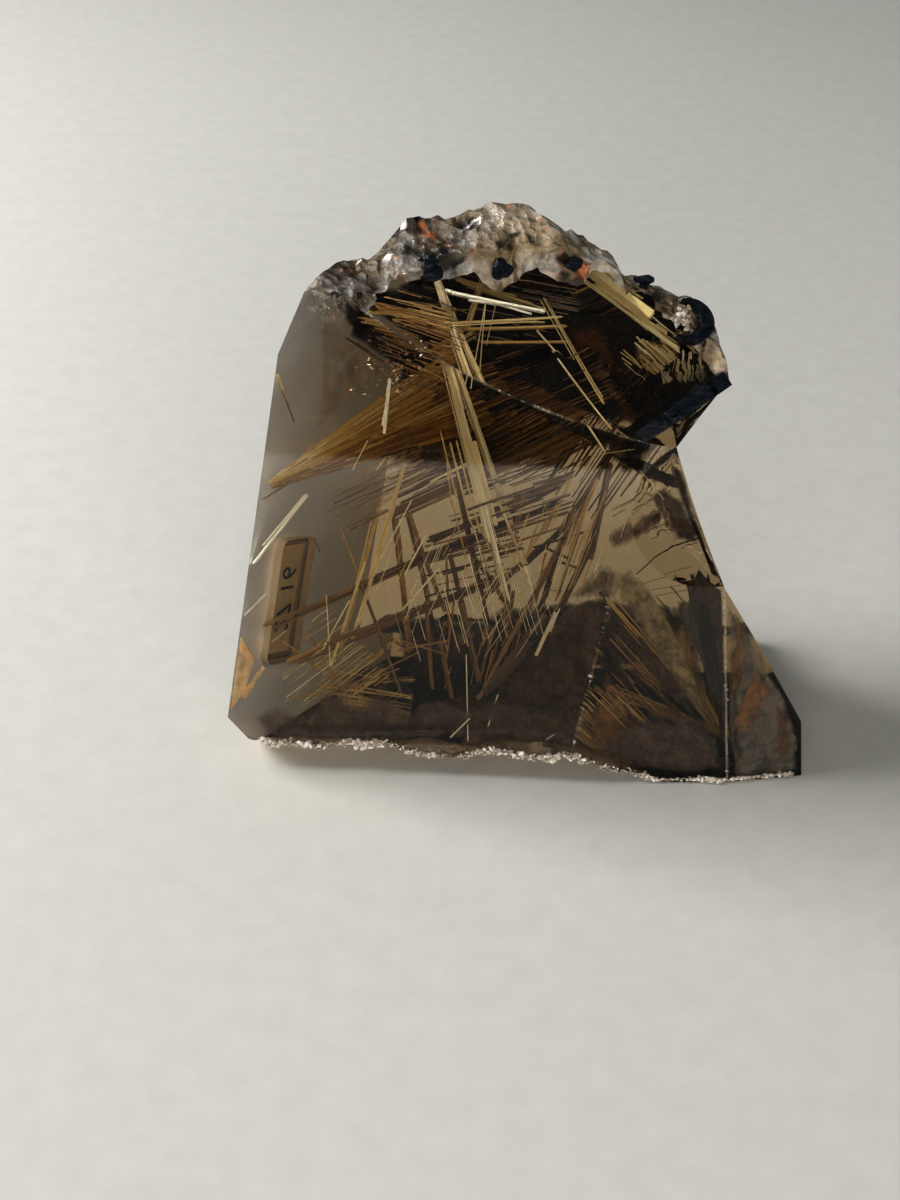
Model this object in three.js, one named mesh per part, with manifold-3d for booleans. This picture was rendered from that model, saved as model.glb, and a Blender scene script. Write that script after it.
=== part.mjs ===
// A hand-sized piece of smoky quartz, broken from a larger prism.
//
// Flat prism faces meet in front and at the left, the top is a scooped fracture under a rough
// crust, and the base is a broken surface that it rests on. Needles and blades of rutile and
// plates of hematite grew inside the quartz, and a small paper label sticks to its back left face.
// The quartz is parted in two along a plane through the needles, so that each sheaf of rutile can
// lie in a pocket of its own.
//
// Millimetres, +X right, +Y to the back, +Z up. The origin is on the resting plane, in the base.

import * as THREE from 'three';
import { mergeVertices } from 'three/addons/utils/BufferGeometryUtils.js';
import Module from 'manifold-3d';

const wasm = await Module();
wasm.setup();

// ---------------------------------------------------------------- driving dimensions

const RAW_BLOCK = { width: 110, depth: 90, height: 100, floor: -10 };
const FAR = 300;

// The front prism face leans back and looks a little to the left.
const FRONT_LEAN = 13.7;
const FRONT_HEADING = -4.4;
const FRONT_AT_FLOOR = -22.3;
const PRISM_THICKNESS = 26;
const PARTING_DEPTH = 11;
const PARTING_GAP = 0.1;

// The left edge, where the front face meets the label face at a third of a hexagon's angle.
const LEFT_EDGE_FOOT = { x: -40.5, z: 3 };
const LEFT_EDGE_TOP = { x: -29.8, z: 63.6 };
const LEFT_EDGE_ANGLE = 60;

// Two weak edges on the right of the front, given by where they start and end.
const BREAK_EDGE_FOOT = { x: 7.3, z: 3.5 };
const BREAK_EDGE_TOP = { x: 12.2, z: 27.3 };
const BREAK_TURN = 4;
const END_EDGE_FOOT = { x: 28.8, z: 1.5 };
const END_EDGE_TOP = { x: 26.9, z: 27.9 };
const END_TURN = 8;

// The right outline: waist, sloping end, end face, and the shoulder of the top above them.
const WAIST_TOP = { x: 19.4, z: 47.4 };
const RIGHT_SIDE_BACKWARD = new THREE.Vector3(-0.2, 1, 0);
const END_BULGE = { x: 32.6, z: 18.6 };
const END_SLOPE_FOOT = { x: 38.6, z: 8.2 };
const END_FACE_X = 38.9;
const SHOULDER_X = 26.4;

// The blade of hematite along the lower right edge of the top, and the underside beneath it.
const BLADE_LEFT = new THREE.Vector3(14.8, -10.4, 45.8);
const BLADE_RIGHT = new THREE.Vector3(27.2, -2.8, 51.1);
const BLADE = { length: 15.6, depth: 6, thickness: 2, overhang: 0.9 };
const BLADE_JOINTS = [-0.15, 0.2];
const UNDERSIDE_POINT = new THREE.Vector3(19.5, -10.3, 45.7);
const UNDERSIDE_NORMAL = new THREE.Vector3(0.72, -0.27, -0.64);

// The top fracture: a shallow scoop under the crust.
const SCOOP_POINT = new THREE.Vector3(-1.8, -3, 58.85);
const SCOOP_NORMAL = new THREE.Vector3(0.27, -0.597, 0.77);
const SCOOP_HALF_AXES = { along: 72, rise: 42, deep: 30 };
const SCOOP_DIP = 1.6;
const SCOOP_RIPPLE = { height: 0.35, spacing: 4.6, aroundX: -16, aroundY: 13 };

// Front rim of the crust and its crown, from left to right.
const CRUST_RIM = [
  [-30, -7], [-24, -4.2], [-19, -3], [-15.5, -0.5], [-9, 1.8], [-4, 1.7], [1, 2], [7, 4.4], [12, 6],
  [17, 5.5], [21, 4.6], [24, 2.3], [30, -3],
];
const CROWN = [
  [-29, -5, 63.6], [-27, -2, 65.8], [-25, 0, 67], [-23, 2.5, 66.8], [-19, 4.5, 66.2], [-15, 7, 69.2],
  [-10.5, 9, 69.4], [-7, 11, 69.6], [-4, 11, 69.8], [0, 11, 69.4], [5, 11, 67.8], [9, 11, 65.2],
  [12, 10.5, 64.2], [14, 10, 61.6], [18, 9.5, 60], [22, 8, 58.8], [25, 5.5, 57], [30, 0, 52.5],
];
const CROWN_FRONT_SLOPE = 0.32;
const CROWN_BACK_SLOPE = 0.8;
const CRUST = { lump: 0.9, lumpSize: 4.5, step: 0.35, stepSize: 6, cell: 2.4 };
const CRUST_RIM_WALL = { slope: 0.25, lump: 0.8, level: 64 };

// The broken base: flat patches at the floor, a rim that lifts in front on the left.
const BASE = { lump: 0.8, lumpSize: 7, sunk: 0.55, cell: 4 };
const BASE_RIM = { lift: 4.4, backY: -10, frontY: -19, leftX: 6, rightX: 22 };
const LEDGE = { height: 10.6, reach: 13, slope: 0.35, lump: 1.1, lumpSize: 5, cell: 4.2 };

// A curved fracture at the waist, and the chips along the edges: how far each bites, in a row.
const WAIST_SCOOP = { x: 24.5, z: 38, radius: 24, bite: 2.3 };
const CHIP = { bite: 0.75, long: 1.5, flat: 0.9 };
const RIDGE_CHIPS = { count: 5, size: 2 };
const BREAK_CHIPS = { count: 6, size: 1.6 };
const END_CHIPS = { count: 5, size: 1.4 };

// The paper label on the back left face.
const LABEL = { x: -31.6, z: 20.4, width: 7.6, height: 18.5, thickness: 0.25, corner: 1.4, gap: 0.05 };

// Rutile, as places across, up and behind the front face.
const SHEAF_BLADES = 6;
const NEEDLE_SIDES = 4;
const NEEDLE_POINT = 0.07;
const FAN_OVERLAP = 0.09;

const GAP = 0.3;

// ---------------------------------------------------------------- solids and cutters

function solidFrom(geometry) {
  const bare = geometry.clone();
  bare.deleteAttribute('normal');
  bare.deleteAttribute('uv');
  const merged = mergeVertices(bare, 1e-4);
  const corners = merged.index.array;
  const triVerts = [];
  for (let i = 0; i < corners.length; i += 3) {
    const [a, b, c] = corners.slice(i, i + 3);
    if (a !== b && b !== c && c !== a) {
      triVerts.push(a, b, c);
    }
  }
  return new wasm.Manifold(new wasm.Mesh({
    numProp: 3,
    vertProperties: new Float32Array(merged.attributes.position.array),
    triVerts: new Uint32Array(triVerts),
  }));
}

function geometryFrom(solid) {
  const mesh = solid.getMesh();
  const geometry = new THREE.BufferGeometry();
  geometry.setAttribute('position', new THREE.BufferAttribute(mesh.vertProperties, 3));
  geometry.setIndex(new THREE.BufferAttribute(mesh.triVerts, 1));
  return geometry;
}

// The largest body of a cut, without the crumbs that come loose.
function mainBody(solid) {
  return solid.decompose().sort((a, b) => b.volume() - a.volume())[0];
}

function turnedTo(geometry, zAxis, xHint) {
  const z = zAxis.clone().normalize();
  const y = new THREE.Vector3().crossVectors(z, xHint).normalize();
  const x = new THREE.Vector3().crossVectors(y, z);
  return geometry.applyMatrix4(new THREE.Matrix4().makeBasis(x, y, z));
}

const RIGHT = new THREE.Vector3(1, 0, 0);
const UP = new THREE.Vector3(0, 0, 1);

function plane(point, normal) {
  return { point: point.clone(), normal: normal.clone().normalize() };
}

function outside(face) {
  const hint = Math.abs(face.normal.x) < 0.9 ? RIGHT : UP;
  const block = new THREE.BoxGeometry(FAR, FAR, FAR).translate(0, 0, FAR / 2);
  turnedTo(block, face.normal, hint).translate(...face.point.toArray());
  return solidFrom(block);
}

function yOn(face, x, z) {
  const { point, normal } = face;
  return point.y - (normal.x * (x - point.x) + normal.z * (z - point.z)) / normal.y;
}

function pointOn(face, { x, z }) {
  return new THREE.Vector3(x, yOn(face, x, z), z);
}

function turnedFace(face, foot, top, degrees) {
  const edge = top.clone().sub(foot).normalize();
  const normal = face.normal.clone().applyAxisAngle(edge, THREE.MathUtils.degToRad(degrees));
  return plane(foot, normal);
}

function faceThrough(a, b, backward, lookingTo) {
  const normal = new THREE.Vector3().crossVectors(b.clone().sub(a), backward).normalize();
  if (normal.dot(lookingTo) < 0) {
    normal.negate();
  }
  return plane(a, normal);
}

// ---------------------------------------------------------------- rough surfaces

function dice(i, j) {
  const s = Math.sin(i * 127.1 + j * 311.7) * 43758.5453;
  return s - Math.floor(s);
}

function smoothNoise(x, y) {
  const i = Math.floor(x);
  const j = Math.floor(y);
  const u = x - i;
  const v = y - j;
  const low = THREE.MathUtils.lerp(dice(i, j), dice(i + 1, j), u);
  const high = THREE.MathUtils.lerp(dice(i, j + 1), dice(i + 1, j + 1), u);
  return THREE.MathUtils.lerp(low, high, v) * 2 - 1;
}

function lumps(x, y, size) {
  return smoothNoise(x / size, y / size) + 0.5 * smoothNoise((2 * x) / size + 9, (2 * y) / size + 4);
}

function between(points, x, column) {
  const after = points.findIndex((point) => point[0] > x);
  if (after < 1) {
    return points[after === 0 ? 0 : points.length - 1][column];
  }
  const [a, b] = [points[after - 1], points[after]];
  return THREE.MathUtils.mapLinear(x, a[0], b[0], a[column], b[column]);
}

// A block that fills x and y from the first to the last value, and z from heightAt to far up or
// far down. The inner points of its grid are shifted so that its facets look broken, not ruled.
const GRID_SHIFT = 0.7;

function terrain({ fromX, toX, fromY, toY, cell, heightAt, upward }) {
  const width = toX - fromX;
  const depth = toY - fromY;
  const block = new THREE.BoxGeometry(
    width, depth, FAR, Math.round(width / cell), Math.round(depth / cell), 1,
  );
  block.translate((fromX + toX) / 2, (fromY + toY) / 2, 0);
  const at = block.attributes.position;
  for (let i = 0; i < at.count; i += 1) {
    const x = at.getX(i);
    const y = at.getY(i);
    const roughSide = upward ? at.getZ(i) < 0 : at.getZ(i) > 0;
    const inner = x > fromX + 0.1 && x < toX - 0.1 && y > fromY + 0.1 && y < toY - 0.1;
    const shiftX = inner ? (dice(x * 3.7, y * 1.9) - 0.5) * cell * GRID_SHIFT : 0;
    const shiftY = inner ? (dice(x * 2.3 + 5, y * 4.1) - 0.5) * cell * GRID_SHIFT : 0;
    if (roughSide) {
      at.setXYZ(i, x + shiftX, y + shiftY, heightAt(x + shiftX, y + shiftY));
    }
  }
  return solidFrom(block);
}

// ---------------------------------------------------------------- the faces of the crystal

const lean = THREE.MathUtils.degToRad(FRONT_LEAN);
const heading = THREE.MathUtils.degToRad(FRONT_HEADING);
const front = plane(
  new THREE.Vector3(0, FRONT_AT_FLOOR, 0),
  new THREE.Vector3(Math.sin(heading) * Math.cos(lean), -Math.cos(heading) * Math.cos(lean), Math.sin(lean)),
);
const across = new THREE.Vector3(Math.cos(heading), Math.sin(heading), 0);
const rise = new THREE.Vector3().crossVectors(front.normal, across);
const inward = front.normal.clone().negate();

// A place given as on a drawing of the front face, with its depth behind that face.
function inCrystal([a, r, depth]) {
  return front.point.clone()
    .addScaledVector(across, a)
    .addScaledVector(rise, r)
    .addScaledVector(inward, depth);
}

const leftEdgeFoot = pointOn(front, LEFT_EDGE_FOOT);
const leftEdgeTop = pointOn(front, LEFT_EDGE_TOP);
const labelFace = turnedFace(front, leftEdgeFoot, leftEdgeTop, -(180 - LEFT_EDGE_ANGLE));
const back = plane(front.point.clone().addScaledVector(inward, PRISM_THICKNESS), inward);

const breakFoot = pointOn(front, BREAK_EDGE_FOOT);
const breakTop = pointOn(front, BREAK_EDGE_TOP);
const breakFace = turnedFace(front, breakFoot, breakTop, BREAK_TURN);
const endFoot = pointOn(breakFace, END_EDGE_FOOT);
const endTop = pointOn(breakFace, END_EDGE_TOP);
const endFacet = turnedFace(breakFace, endFoot, endTop, END_TURN);

const waist = faceThrough(endTop, pointOn(breakFace, WAIST_TOP), RIGHT_SIDE_BACKWARD, RIGHT);
const endBulgePoint = pointOn(endFacet, END_BULGE);
const endBulge = faceThrough(endTop, endBulgePoint, RIGHT_SIDE_BACKWARD, RIGHT);
const endSlope = faceThrough(endBulgePoint, pointOn(endFacet, END_SLOPE_FOOT), RIGHT_SIDE_BACKWARD, RIGHT);
const endFace = plane(new THREE.Vector3(END_FACE_X, -20, 5), new THREE.Vector3(1, 0.12, 0.05));
const shoulder = plane(new THREE.Vector3(SHOULDER_X, 0, 55), new THREE.Vector3(1, 0.1, 0.12));
const underside = plane(UNDERSIDE_POINT, UNDERSIDE_NORMAL);
const leftCorner = faceThrough(
  pointOn(front, { x: -30.9, z: 57 }),
  pointOn(front, { x: -27.5, z: 64.4 }),
  new THREE.Vector3(0.5, 0.8, 0),
  new THREE.Vector3(-1, 0, 1),
);
const ledgeBack = plane(new THREE.Vector3(0, LEDGE.reach, 0), new THREE.Vector3(0.09, 1, -0.15));
const footChamfer = plane(new THREE.Vector3(-39.8, -16.8, 6.6), new THREE.Vector3(-0.74, -0.35, -0.57));

// ---------------------------------------------------------------- the quartz

function scoopCutter() {
  const { along, rise: up, deep } = SCOOP_HALF_AXES;
  const bowl = new THREE.IcosahedronGeometry(1, 16);
  bowl.scale(along, up, deep);
  const at = bowl.attributes.position;
  for (let i = 0; i < at.count; i += 1) {
    const reach = Math.hypot(at.getX(i) - SCOOP_RIPPLE.aroundX, at.getY(i) - SCOOP_RIPPLE.aroundY);
    const ripple = SCOOP_RIPPLE.height * Math.sin((reach / SCOOP_RIPPLE.spacing) * 2 * Math.PI);
    at.setZ(i, at.getZ(i) + ripple);
  }
  turnedTo(bowl, SCOOP_NORMAL, RIGHT);
  const normal = SCOOP_NORMAL.clone().normalize();
  bowl.translate(...SCOOP_POINT.clone().addScaledVector(normal, deep - SCOOP_DIP).toArray());
  return solidFrom(bowl);
}

function crustRimCutter() {
  // All that is in front of the crust's rim: a terrain laid on its back, its rough side to +Y.
  const rim = terrain({
    fromX: -60,
    toX: 60,
    fromY: -120,
    toY: -30,
    cell: CRUST.cell,
    upward: false,
    heightAt: (x, y) => between(CRUST_RIM, x, 1)
      + CRUST_RIM_WALL.slope * (-y - CRUST_RIM_WALL.level)
      + CRUST_RIM_WALL.lump * lumps(x, y, CRUST.lumpSize),
  });
  return rim.rotate([-90, 0, 0]);
}

function crustTop(x, y) {
  const crownY = between(CROWN, x, 1);
  const crownZ = between(CROWN, x, 2);
  const slope = y < crownY ? CROWN_FRONT_SLOPE : CROWN_BACK_SLOPE;
  const step = CRUST.step * Math.sign(smoothNoise(x / CRUST.stepSize, y / CRUST.stepSize));
  return crownZ - slope * Math.abs(y - crownY) + CRUST.lump * lumps(x, y, CRUST.lumpSize) + step;
}

function baseHeight(x, y) {
  const toFront = THREE.MathUtils.smoothstep(-y, -BASE_RIM.backY, -BASE_RIM.frontY);
  const toLeft = 1 - THREE.MathUtils.smoothstep(x, BASE_RIM.leftX, BASE_RIM.rightX);
  const lifted = BASE_RIM.lift * toFront * toLeft;
  return Math.max(0, lifted + BASE.lump * lumps(x, y, BASE.lumpSize) - BASE.sunk);
}

function ledgeTop(x, y) {
  return LEDGE.height - LEDGE.slope * y + LEDGE.lump * lumps(x, y, LEDGE.lumpSize);
}

const area = { fromX: -60, toX: 60, fromY: -50, toY: 50 };

let quartz = solidFrom(
  new THREE.BoxGeometry(RAW_BLOCK.width, RAW_BLOCK.depth, RAW_BLOCK.height)
    .translate(0, 0, RAW_BLOCK.floor + RAW_BLOCK.height / 2),
);
for (const face of [front, labelFace, breakFace, endFacet, endFace, leftCorner, footChamfer]) {
  quartz = quartz.subtract(outside(face));
}
const aboveLedge = terrain({ ...area, cell: LEDGE.cell, upward: true, heightAt: ledgeTop });
quartz = quartz.subtract(outside(back).intersect(aboveLedge));
quartz = quartz.subtract(outside(ledgeBack));
// The waist is cut above the top of the end facet and the slope below it. The two cuts pass each
// other a little, so that no skin is left between them.
const belowWaist = outside(plane(endTop, UP.clone().negate()));
const aboveSlope = outside(plane(endTop.clone().addScaledVector(UP, -0.02), UP));
quartz = quartz.subtract(outside(waist).intersect(outside(underside)).intersect(aboveSlope));
quartz = quartz.subtract(outside(shoulder).intersect(aboveSlope));
quartz = quartz.subtract(outside(endSlope).intersect(belowWaist));
quartz = quartz.subtract(outside(endBulge).intersect(belowWaist));
quartz = quartz.subtract(scoopCutter().intersect(crustRimCutter()));
quartz = quartz.subtract(terrain({ ...area, cell: CRUST.cell, upward: true, heightAt: crustTop }));
quartz = quartz.subtract(terrain({ ...area, cell: BASE.cell, upward: false, heightAt: baseHeight }));

// A scoop of the given radius that bites into a face around a point on it.
function scoopOut(face, place, radius, bite) {
  const ball = new THREE.IcosahedronGeometry(radius, 9);
  ball.translate(...place.clone().addScaledVector(face.normal, radius - bite).toArray());
  return solidFrom(ball);
}

// Chips in a row along an edge, each a small tilted stone that breaks the edge away.
function chipsAlong(from, to, outward, { count, size }, seed) {
  const stones = [];
  for (let i = 0; i < count; i += 1) {
    const t = (i + 0.5 + 0.7 * (dice(i, seed) - 0.5)) / count;
    const radius = size * (0.7 + 0.7 * dice(i + 3, seed));
    const stone = new THREE.IcosahedronGeometry(radius);
    stone.scale(CHIP.long, CHIP.flat, 1);
    stone.rotateZ(6.3 * dice(i, seed + 1)).rotateX(6.3 * dice(i, seed + 2));
    const place = from.clone().lerp(to, t).addScaledVector(outward, radius * CHIP.flat - CHIP.bite);
    stones.push(solidFrom(stone.translate(...place.toArray())));
  }
  return wasm.Manifold.union(stones);
}

const midway = (a, b) => a.clone().add(b).normalize();
quartz = quartz.subtract(
  scoopOut(breakFace, pointOn(breakFace, WAIST_SCOOP), WAIST_SCOOP.radius, WAIST_SCOOP.bite),
);
const ridgeLeft = pointOn(front, { x: -22, z: 63.6 });
const ridgeMiddle = pointOn(front, { x: -4, z: 54 });
const ridgeRight = pointOn(front, { x: 13, z: 48 });
const ridgeOutward = midway(front.normal, SCOOP_NORMAL);
const breakOutward = midway(front.normal, breakFace.normal);
const endOutward = midway(breakFace.normal, endFacet.normal);
quartz = quartz.subtract(chipsAlong(ridgeLeft, ridgeMiddle, ridgeOutward, RIDGE_CHIPS, 1));
quartz = quartz.subtract(chipsAlong(ridgeMiddle, ridgeRight, ridgeOutward, RIDGE_CHIPS, 2));
quartz = quartz.subtract(chipsAlong(breakFoot, breakTop, breakOutward, BREAK_CHIPS, 3));
quartz = quartz.subtract(chipsAlong(endFoot, endTop, endOutward, END_CHIPS, 4));

// The crystal before its pockets: needles that reach the fracture are broken off with it.
const whole = quartz;

// ---------------------------------------------------------------- rutile

// One needle or blade: a four-sided prism, as rutile grows, pointed at both ends, with its flat
// side to the front face. Grown by a margin it is the needle's own pocket.
function needle([from, to, width, thickness], margin) {
  const start = inCrystal(from);
  const end = inCrystal(to);
  const length = start.distanceTo(end) + 2 * margin;
  const profile = [[0, 0], [1, NEEDLE_POINT], [1, 1 - NEEDLE_POINT], [0, 1]];
  const shape = new THREE.LatheGeometry(profile.map(([x, y]) => new THREE.Vector2(x, y)), NEEDLE_SIDES);
  shape.scale(width / 2 + margin, length, thickness / 2 + margin);
  shape.translate(0, -margin, 0);
  const along = end.clone().sub(start).normalize();
  const flat = inward.clone().addScaledVector(along, -inward.dot(along)).normalize();
  const wide = new THREE.Vector3().crossVectors(along, flat);
  shape.applyMatrix4(new THREE.Matrix4().makeBasis(wide, along, flat));
  return solidFrom(shape.translate(...start.toArray()));
}

// Needles that spread from one hub; each starts a little behind it, so that they grow together.
function fan(hub, tips, width, thickness) {
  return tips.map((tip) => {
    const start = hub.map((value, axis) => value - FAN_OVERLAP * (tip[axis] - value));
    return [start, tip, width, thickness];
  });
}

function goldenSheaf() {
  const blades = [];
  for (let i = 0; i < SHEAF_BLADES; i += 1) {
    const tip = [-32.2 + 0.35 * i, 40.9 - 0.5 * i, 1.6 + 0.5 * i];
    const end = [-8.5, 57 - 2.2 * i, 15 + 0.3 * i];
    blades.push([tip, end, 1.7, 1]);
  }
  return blades;
}

const rutile = {
  rutile_golden_sheaf: goldenSheaf(),
  rutile_top_spray: fan(
    [-14.2, 67, 12.5],
    [[-7.5, 46, 7.5], [-4.8, 33, 5.5], [-3.2, 30, 4.5], [-1.8, 24.5, 5.5], [1.2, 26, 7]],
    1, 0.8,
  ),
  rutile_lattice: [
    [[-35, 19, 5], [-3.6, 33.5, 15], 1.1, 1],
    [[-32, 14, 6], [-0.7, 27.5, 14], 1.1, 1],
    [[-13, 31, 13], [6.2, 42, 13.4], 1.1, 1],
    [[-18.6, 35, 12.3], [4, 46.5, 13], 2.6, 1],
    [[-18.4, 36.5, 12.4], [-15.5, 16, 9.8], 1.1, 1],
    [[-16.6, 36.5, 12.5], [-11.5, 16.5, 10.6], 1.1, 1],
    [[-9.6, 41, 12.6], [-3, 11.5, 13.2], 1.1, 1],
  ],
  rutile_slanting_needles: [
    [[9.8, 42.5, 12.6], [-5.6, 10.5, 5.5], 1, 0.9],
    [[3.2, 22.5, 8.6], [-6, 10, 5.4], 1.3, 0.9],
    [[8.8, 41.5, 12.2], [4.2, 24.5, 8], 0.9, 0.9],
  ],
  rutile_nest: fan(
    [-25, 9.5, 12.2],
    [[-33, 17.5, 6], [-30, 19, 7.6], [-17, 18.5, 6.5], [-32.5, 8.5, 6], [-20, 8.5, 5], [-14.5, 12.5, 6.5]],
    1, 0.8,
  ),
  rutile_fan: fan(
    [28, 4.8, 11.8],
    [[11.2, 12.8, 7], [10.8, 26, 6.5], [15.8, 27, 7], [22, 28.5, 8], [24.2, 29, 6.5], [18, 9, 7]],
    1.3, 0.9,
  ),
  rutile_top_blade: [
    [[6.2, 67.5, 16.5], [20.2, 59, 11.6], 4, 1],
    [[18.4, 60.6, 12.6], [22, 56.6, 14.5], 1.2, 0.9],
    [[18.4, 60.6, 12.6], [24, 57.8, 14.5], 1.2, 0.9],
  ],
  rutile_top_needles: [
    [[-11.5, 65.3, 13.2], [1.3, 63, 10.4], 1.2, 0.8],
    [[-6.9, 67.3, 13.5], [-9.3, 59.6, 9], 1, 0.8],
    [[-13.5, 60.2, 8.5], [3.4, 61.4, 12.4], 1.1, 0.8],
    [[0.6, 63.8, 13.2], [9, 50, 8], 1, 0.8],
  ],
  rutile_end_blades: fan(
    [32.6, 6, 11.8],
    [[31.2, 17, 6], [33.6, 13, 5.8], [35.6, 9.8, 5.8]],
    1.6, 0.9,
  ),
};

// ---------------------------------------------------------------- hematite and the label

// The blade lies in the front edge of the underside, with two joints across it.
function hematiteBlade(margin) {
  const along = BLADE_RIGHT.clone().sub(BLADE_LEFT).normalize();
  const up = underside.normal.clone().negate();
  up.addScaledVector(along, -up.dot(along)).normalize();
  const deep = new THREE.Vector3().crossVectors(up, along);
  const { length, depth, thickness } = BLADE;
  const slab = new THREE.BoxGeometry(length + 2 * margin, depth + 2 * margin, thickness + 2 * margin);
  let blade = solidFrom(slab);
  if (margin === 0) {
    for (const joint of BLADE_JOINTS) {
      const groove = new THREE.BoxGeometry(0.5, 3, 0.5).rotateZ(0.2).rotateX(0.2);
      blade = blade.subtract(solidFrom(groove.translate(joint * length, -depth / 2, thickness / 2)));
    }
    const tornCorner = new THREE.BoxGeometry(3, 4, 3).rotateZ(0.6);
    blade = blade.subtract(solidFrom(tornCorner.translate(length / 2 + 0.9, -depth / 2, -0.6)));
  }
  const middle = BLADE_LEFT.clone().lerp(BLADE_RIGHT, 0.5)
    .addScaledVector(deep, depth / 2 - BLADE.overhang);
  const m = new THREE.Matrix4().makeBasis(along, deep, up).setPosition(middle);
  return blade.transform(m.elements);
}

// Small lumps of hematite set in the crust: place, size and turn.
const CRUST_LUMPS = {
  hematite_lump_left_corner: { at: [-25.2, -1.2, 65.2], size: [1.9, 1.3, 1.2], turn: 0.5 },
  hematite_lump_left: { at: [-12.4, 1.6, 66.4], size: [1.9, 1.3, 1.6], turn: 0.2 },
  hematite_lump_middle: { at: [-2.2, 2.4, 64.8], size: [2, 1.4, 1.5], turn: 1.1 },
  hematite_lump_right: { at: [7, 5, 64.2], size: [1.5, 1.2, 1.1], turn: 0.7 },
  hematite_skyline_wedge: { at: [15.6, 9, 62], size: [2.4, 1.5, 1.2], turn: 0.3 },
};

function crustLump({ at, size, turn }, margin) {
  const lump = new THREE.DodecahedronGeometry(1);
  lump.scale(...size.map((half) => half + margin));
  return solidFrom(lump.rotateZ(turn).rotateX(turn / 2).translate(...at));
}

// A crescent of hematite at the right end of the scoop.
const CRESCENT = { at: [22.4, 2.6, 57.6], outer: 3.3, inner: 2.9, shift: 1.5, thickness: 1.5 };

function hematiteCrescent(margin) {
  const { at, shift } = CRESCENT;
  const outer = CRESCENT.outer + margin;
  const inner = CRESCENT.inner - margin;
  const thickness = CRESCENT.thickness + 2 * margin;
  const horn = Math.acos((shift * shift + outer * outer - inner * inner) / (2 * shift * outer));
  const innerHorn = Math.atan2(outer * Math.sin(horn), outer * Math.cos(horn) - shift);
  const shape = new THREE.Shape();
  shape.absarc(0, 0, outer, horn, 2 * Math.PI - horn, false);
  shape.absarc(shift, 0, inner, -innerHorn, innerHorn, true);
  const body = new THREE.ExtrudeGeometry(shape, { depth: thickness, bevelEnabled: false, curveSegments: 5 });
  body.translate(0, 0, -thickness / 2);
  turnedTo(body, SCOOP_NORMAL, new THREE.Vector3(-1, 0, 0.25));
  return solidFrom(body.translate(...at));
}

function paperLabel() {
  const { width, height, corner, thickness } = LABEL;
  const w = width / 2;
  const h = height / 2;
  const sheet = new THREE.Shape();
  sheet.absarc(w - corner, h - corner, corner, 0, Math.PI / 2);
  sheet.absarc(corner - w, h - corner, corner, Math.PI / 2, Math.PI);
  sheet.absarc(corner - w, corner - h, corner, Math.PI, 1.5 * Math.PI);
  sheet.absarc(w - corner, corner - h, corner, 1.5 * Math.PI, 2 * Math.PI);
  const paper = new THREE.ExtrudeGeometry(sheet, { depth: thickness, bevelEnabled: false, curveSegments: 2 });
  const up = leftEdgeTop.clone().sub(leftEdgeFoot).normalize();
  const side = new THREE.Vector3().crossVectors(up, labelFace.normal);
  const place = pointOn(labelFace, LABEL).addScaledVector(labelFace.normal, LABEL.gap);
  paper.applyMatrix4(new THREE.Matrix4().makeBasis(side, up, labelFace.normal).setPosition(place));
  return solidFrom(paper);
}

// ---------------------------------------------------------------- the assembly

const smokyQuartz = new THREE.MeshStandardMaterial({ color: '#7a6a58', roughness: 0.1, metalness: 0 });
const goldenRutile = new THREE.MeshStandardMaterial({ color: '#8a6428', roughness: 0.35, metalness: 0.4 });
const blackHematite = new THREE.MeshStandardMaterial({ color: '#1c2430', roughness: 0.25, metalness: 0.8 });
const beigePaper = new THREE.MeshStandardMaterial({ color: '#b6a685', roughness: 0.9, metalness: 0 });

const specimen = new THREE.Group();

function addPiece(name, solid, material) {
  const mesh = new THREE.Mesh(geometryFrom(solid), material);
  mesh.name = name;
  specimen.add(mesh);
}

for (const [name, needles] of Object.entries(rutile)) {
  const sheaf = wasm.Manifold.union(needles.map((one) => needle(one, 0)));
  addPiece(name, sheaf.intersect(whole), goldenRutile);
  quartz = quartz.subtract(wasm.Manifold.union(needles.map((one) => needle(one, GAP))));
}
addPiece('hematite_blade', hematiteBlade(0), blackHematite);
quartz = quartz.subtract(hematiteBlade(GAP));
for (const [name, lump] of Object.entries(CRUST_LUMPS)) {
  addPiece(name, crustLump(lump, 0), blackHematite);
  quartz = quartz.subtract(crustLump(lump, GAP));
}
addPiece('hematite_crescent', hematiteCrescent(0), blackHematite);
quartz = quartz.subtract(hematiteCrescent(GAP));
addPiece('paper_label', paperLabel(), beigePaper);

const backward = plane(inCrystal([0, 0, PARTING_DEPTH]), inward);
const forward = plane(inCrystal([0, 0, PARTING_DEPTH + PARTING_GAP]), front.normal);
addPiece('quartz_front_half', mainBody(quartz.subtract(outside(backward))), smokyQuartz);
addPiece('quartz_back_half', mainBody(quartz.subtract(outside(forward))), smokyQuartz);

export default specimen;
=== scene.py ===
# %% [markdown]
# # A smoky quartz full of rutile needles
#
# This lesson dresses a mineral specimen: one broken crystal of clear brown quartz, with golden and
# dark needles grown inside it, black plates of hematite, a rough crust on top and a small paper
# label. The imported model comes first, and every piece is placed in its frame, in metres.

# %% Load the frame
import math
import random

import bpy
import numpy as np
from mathutils import Matrix, Vector, noise
from mathutils.bvhtree import BVHTree


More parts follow.
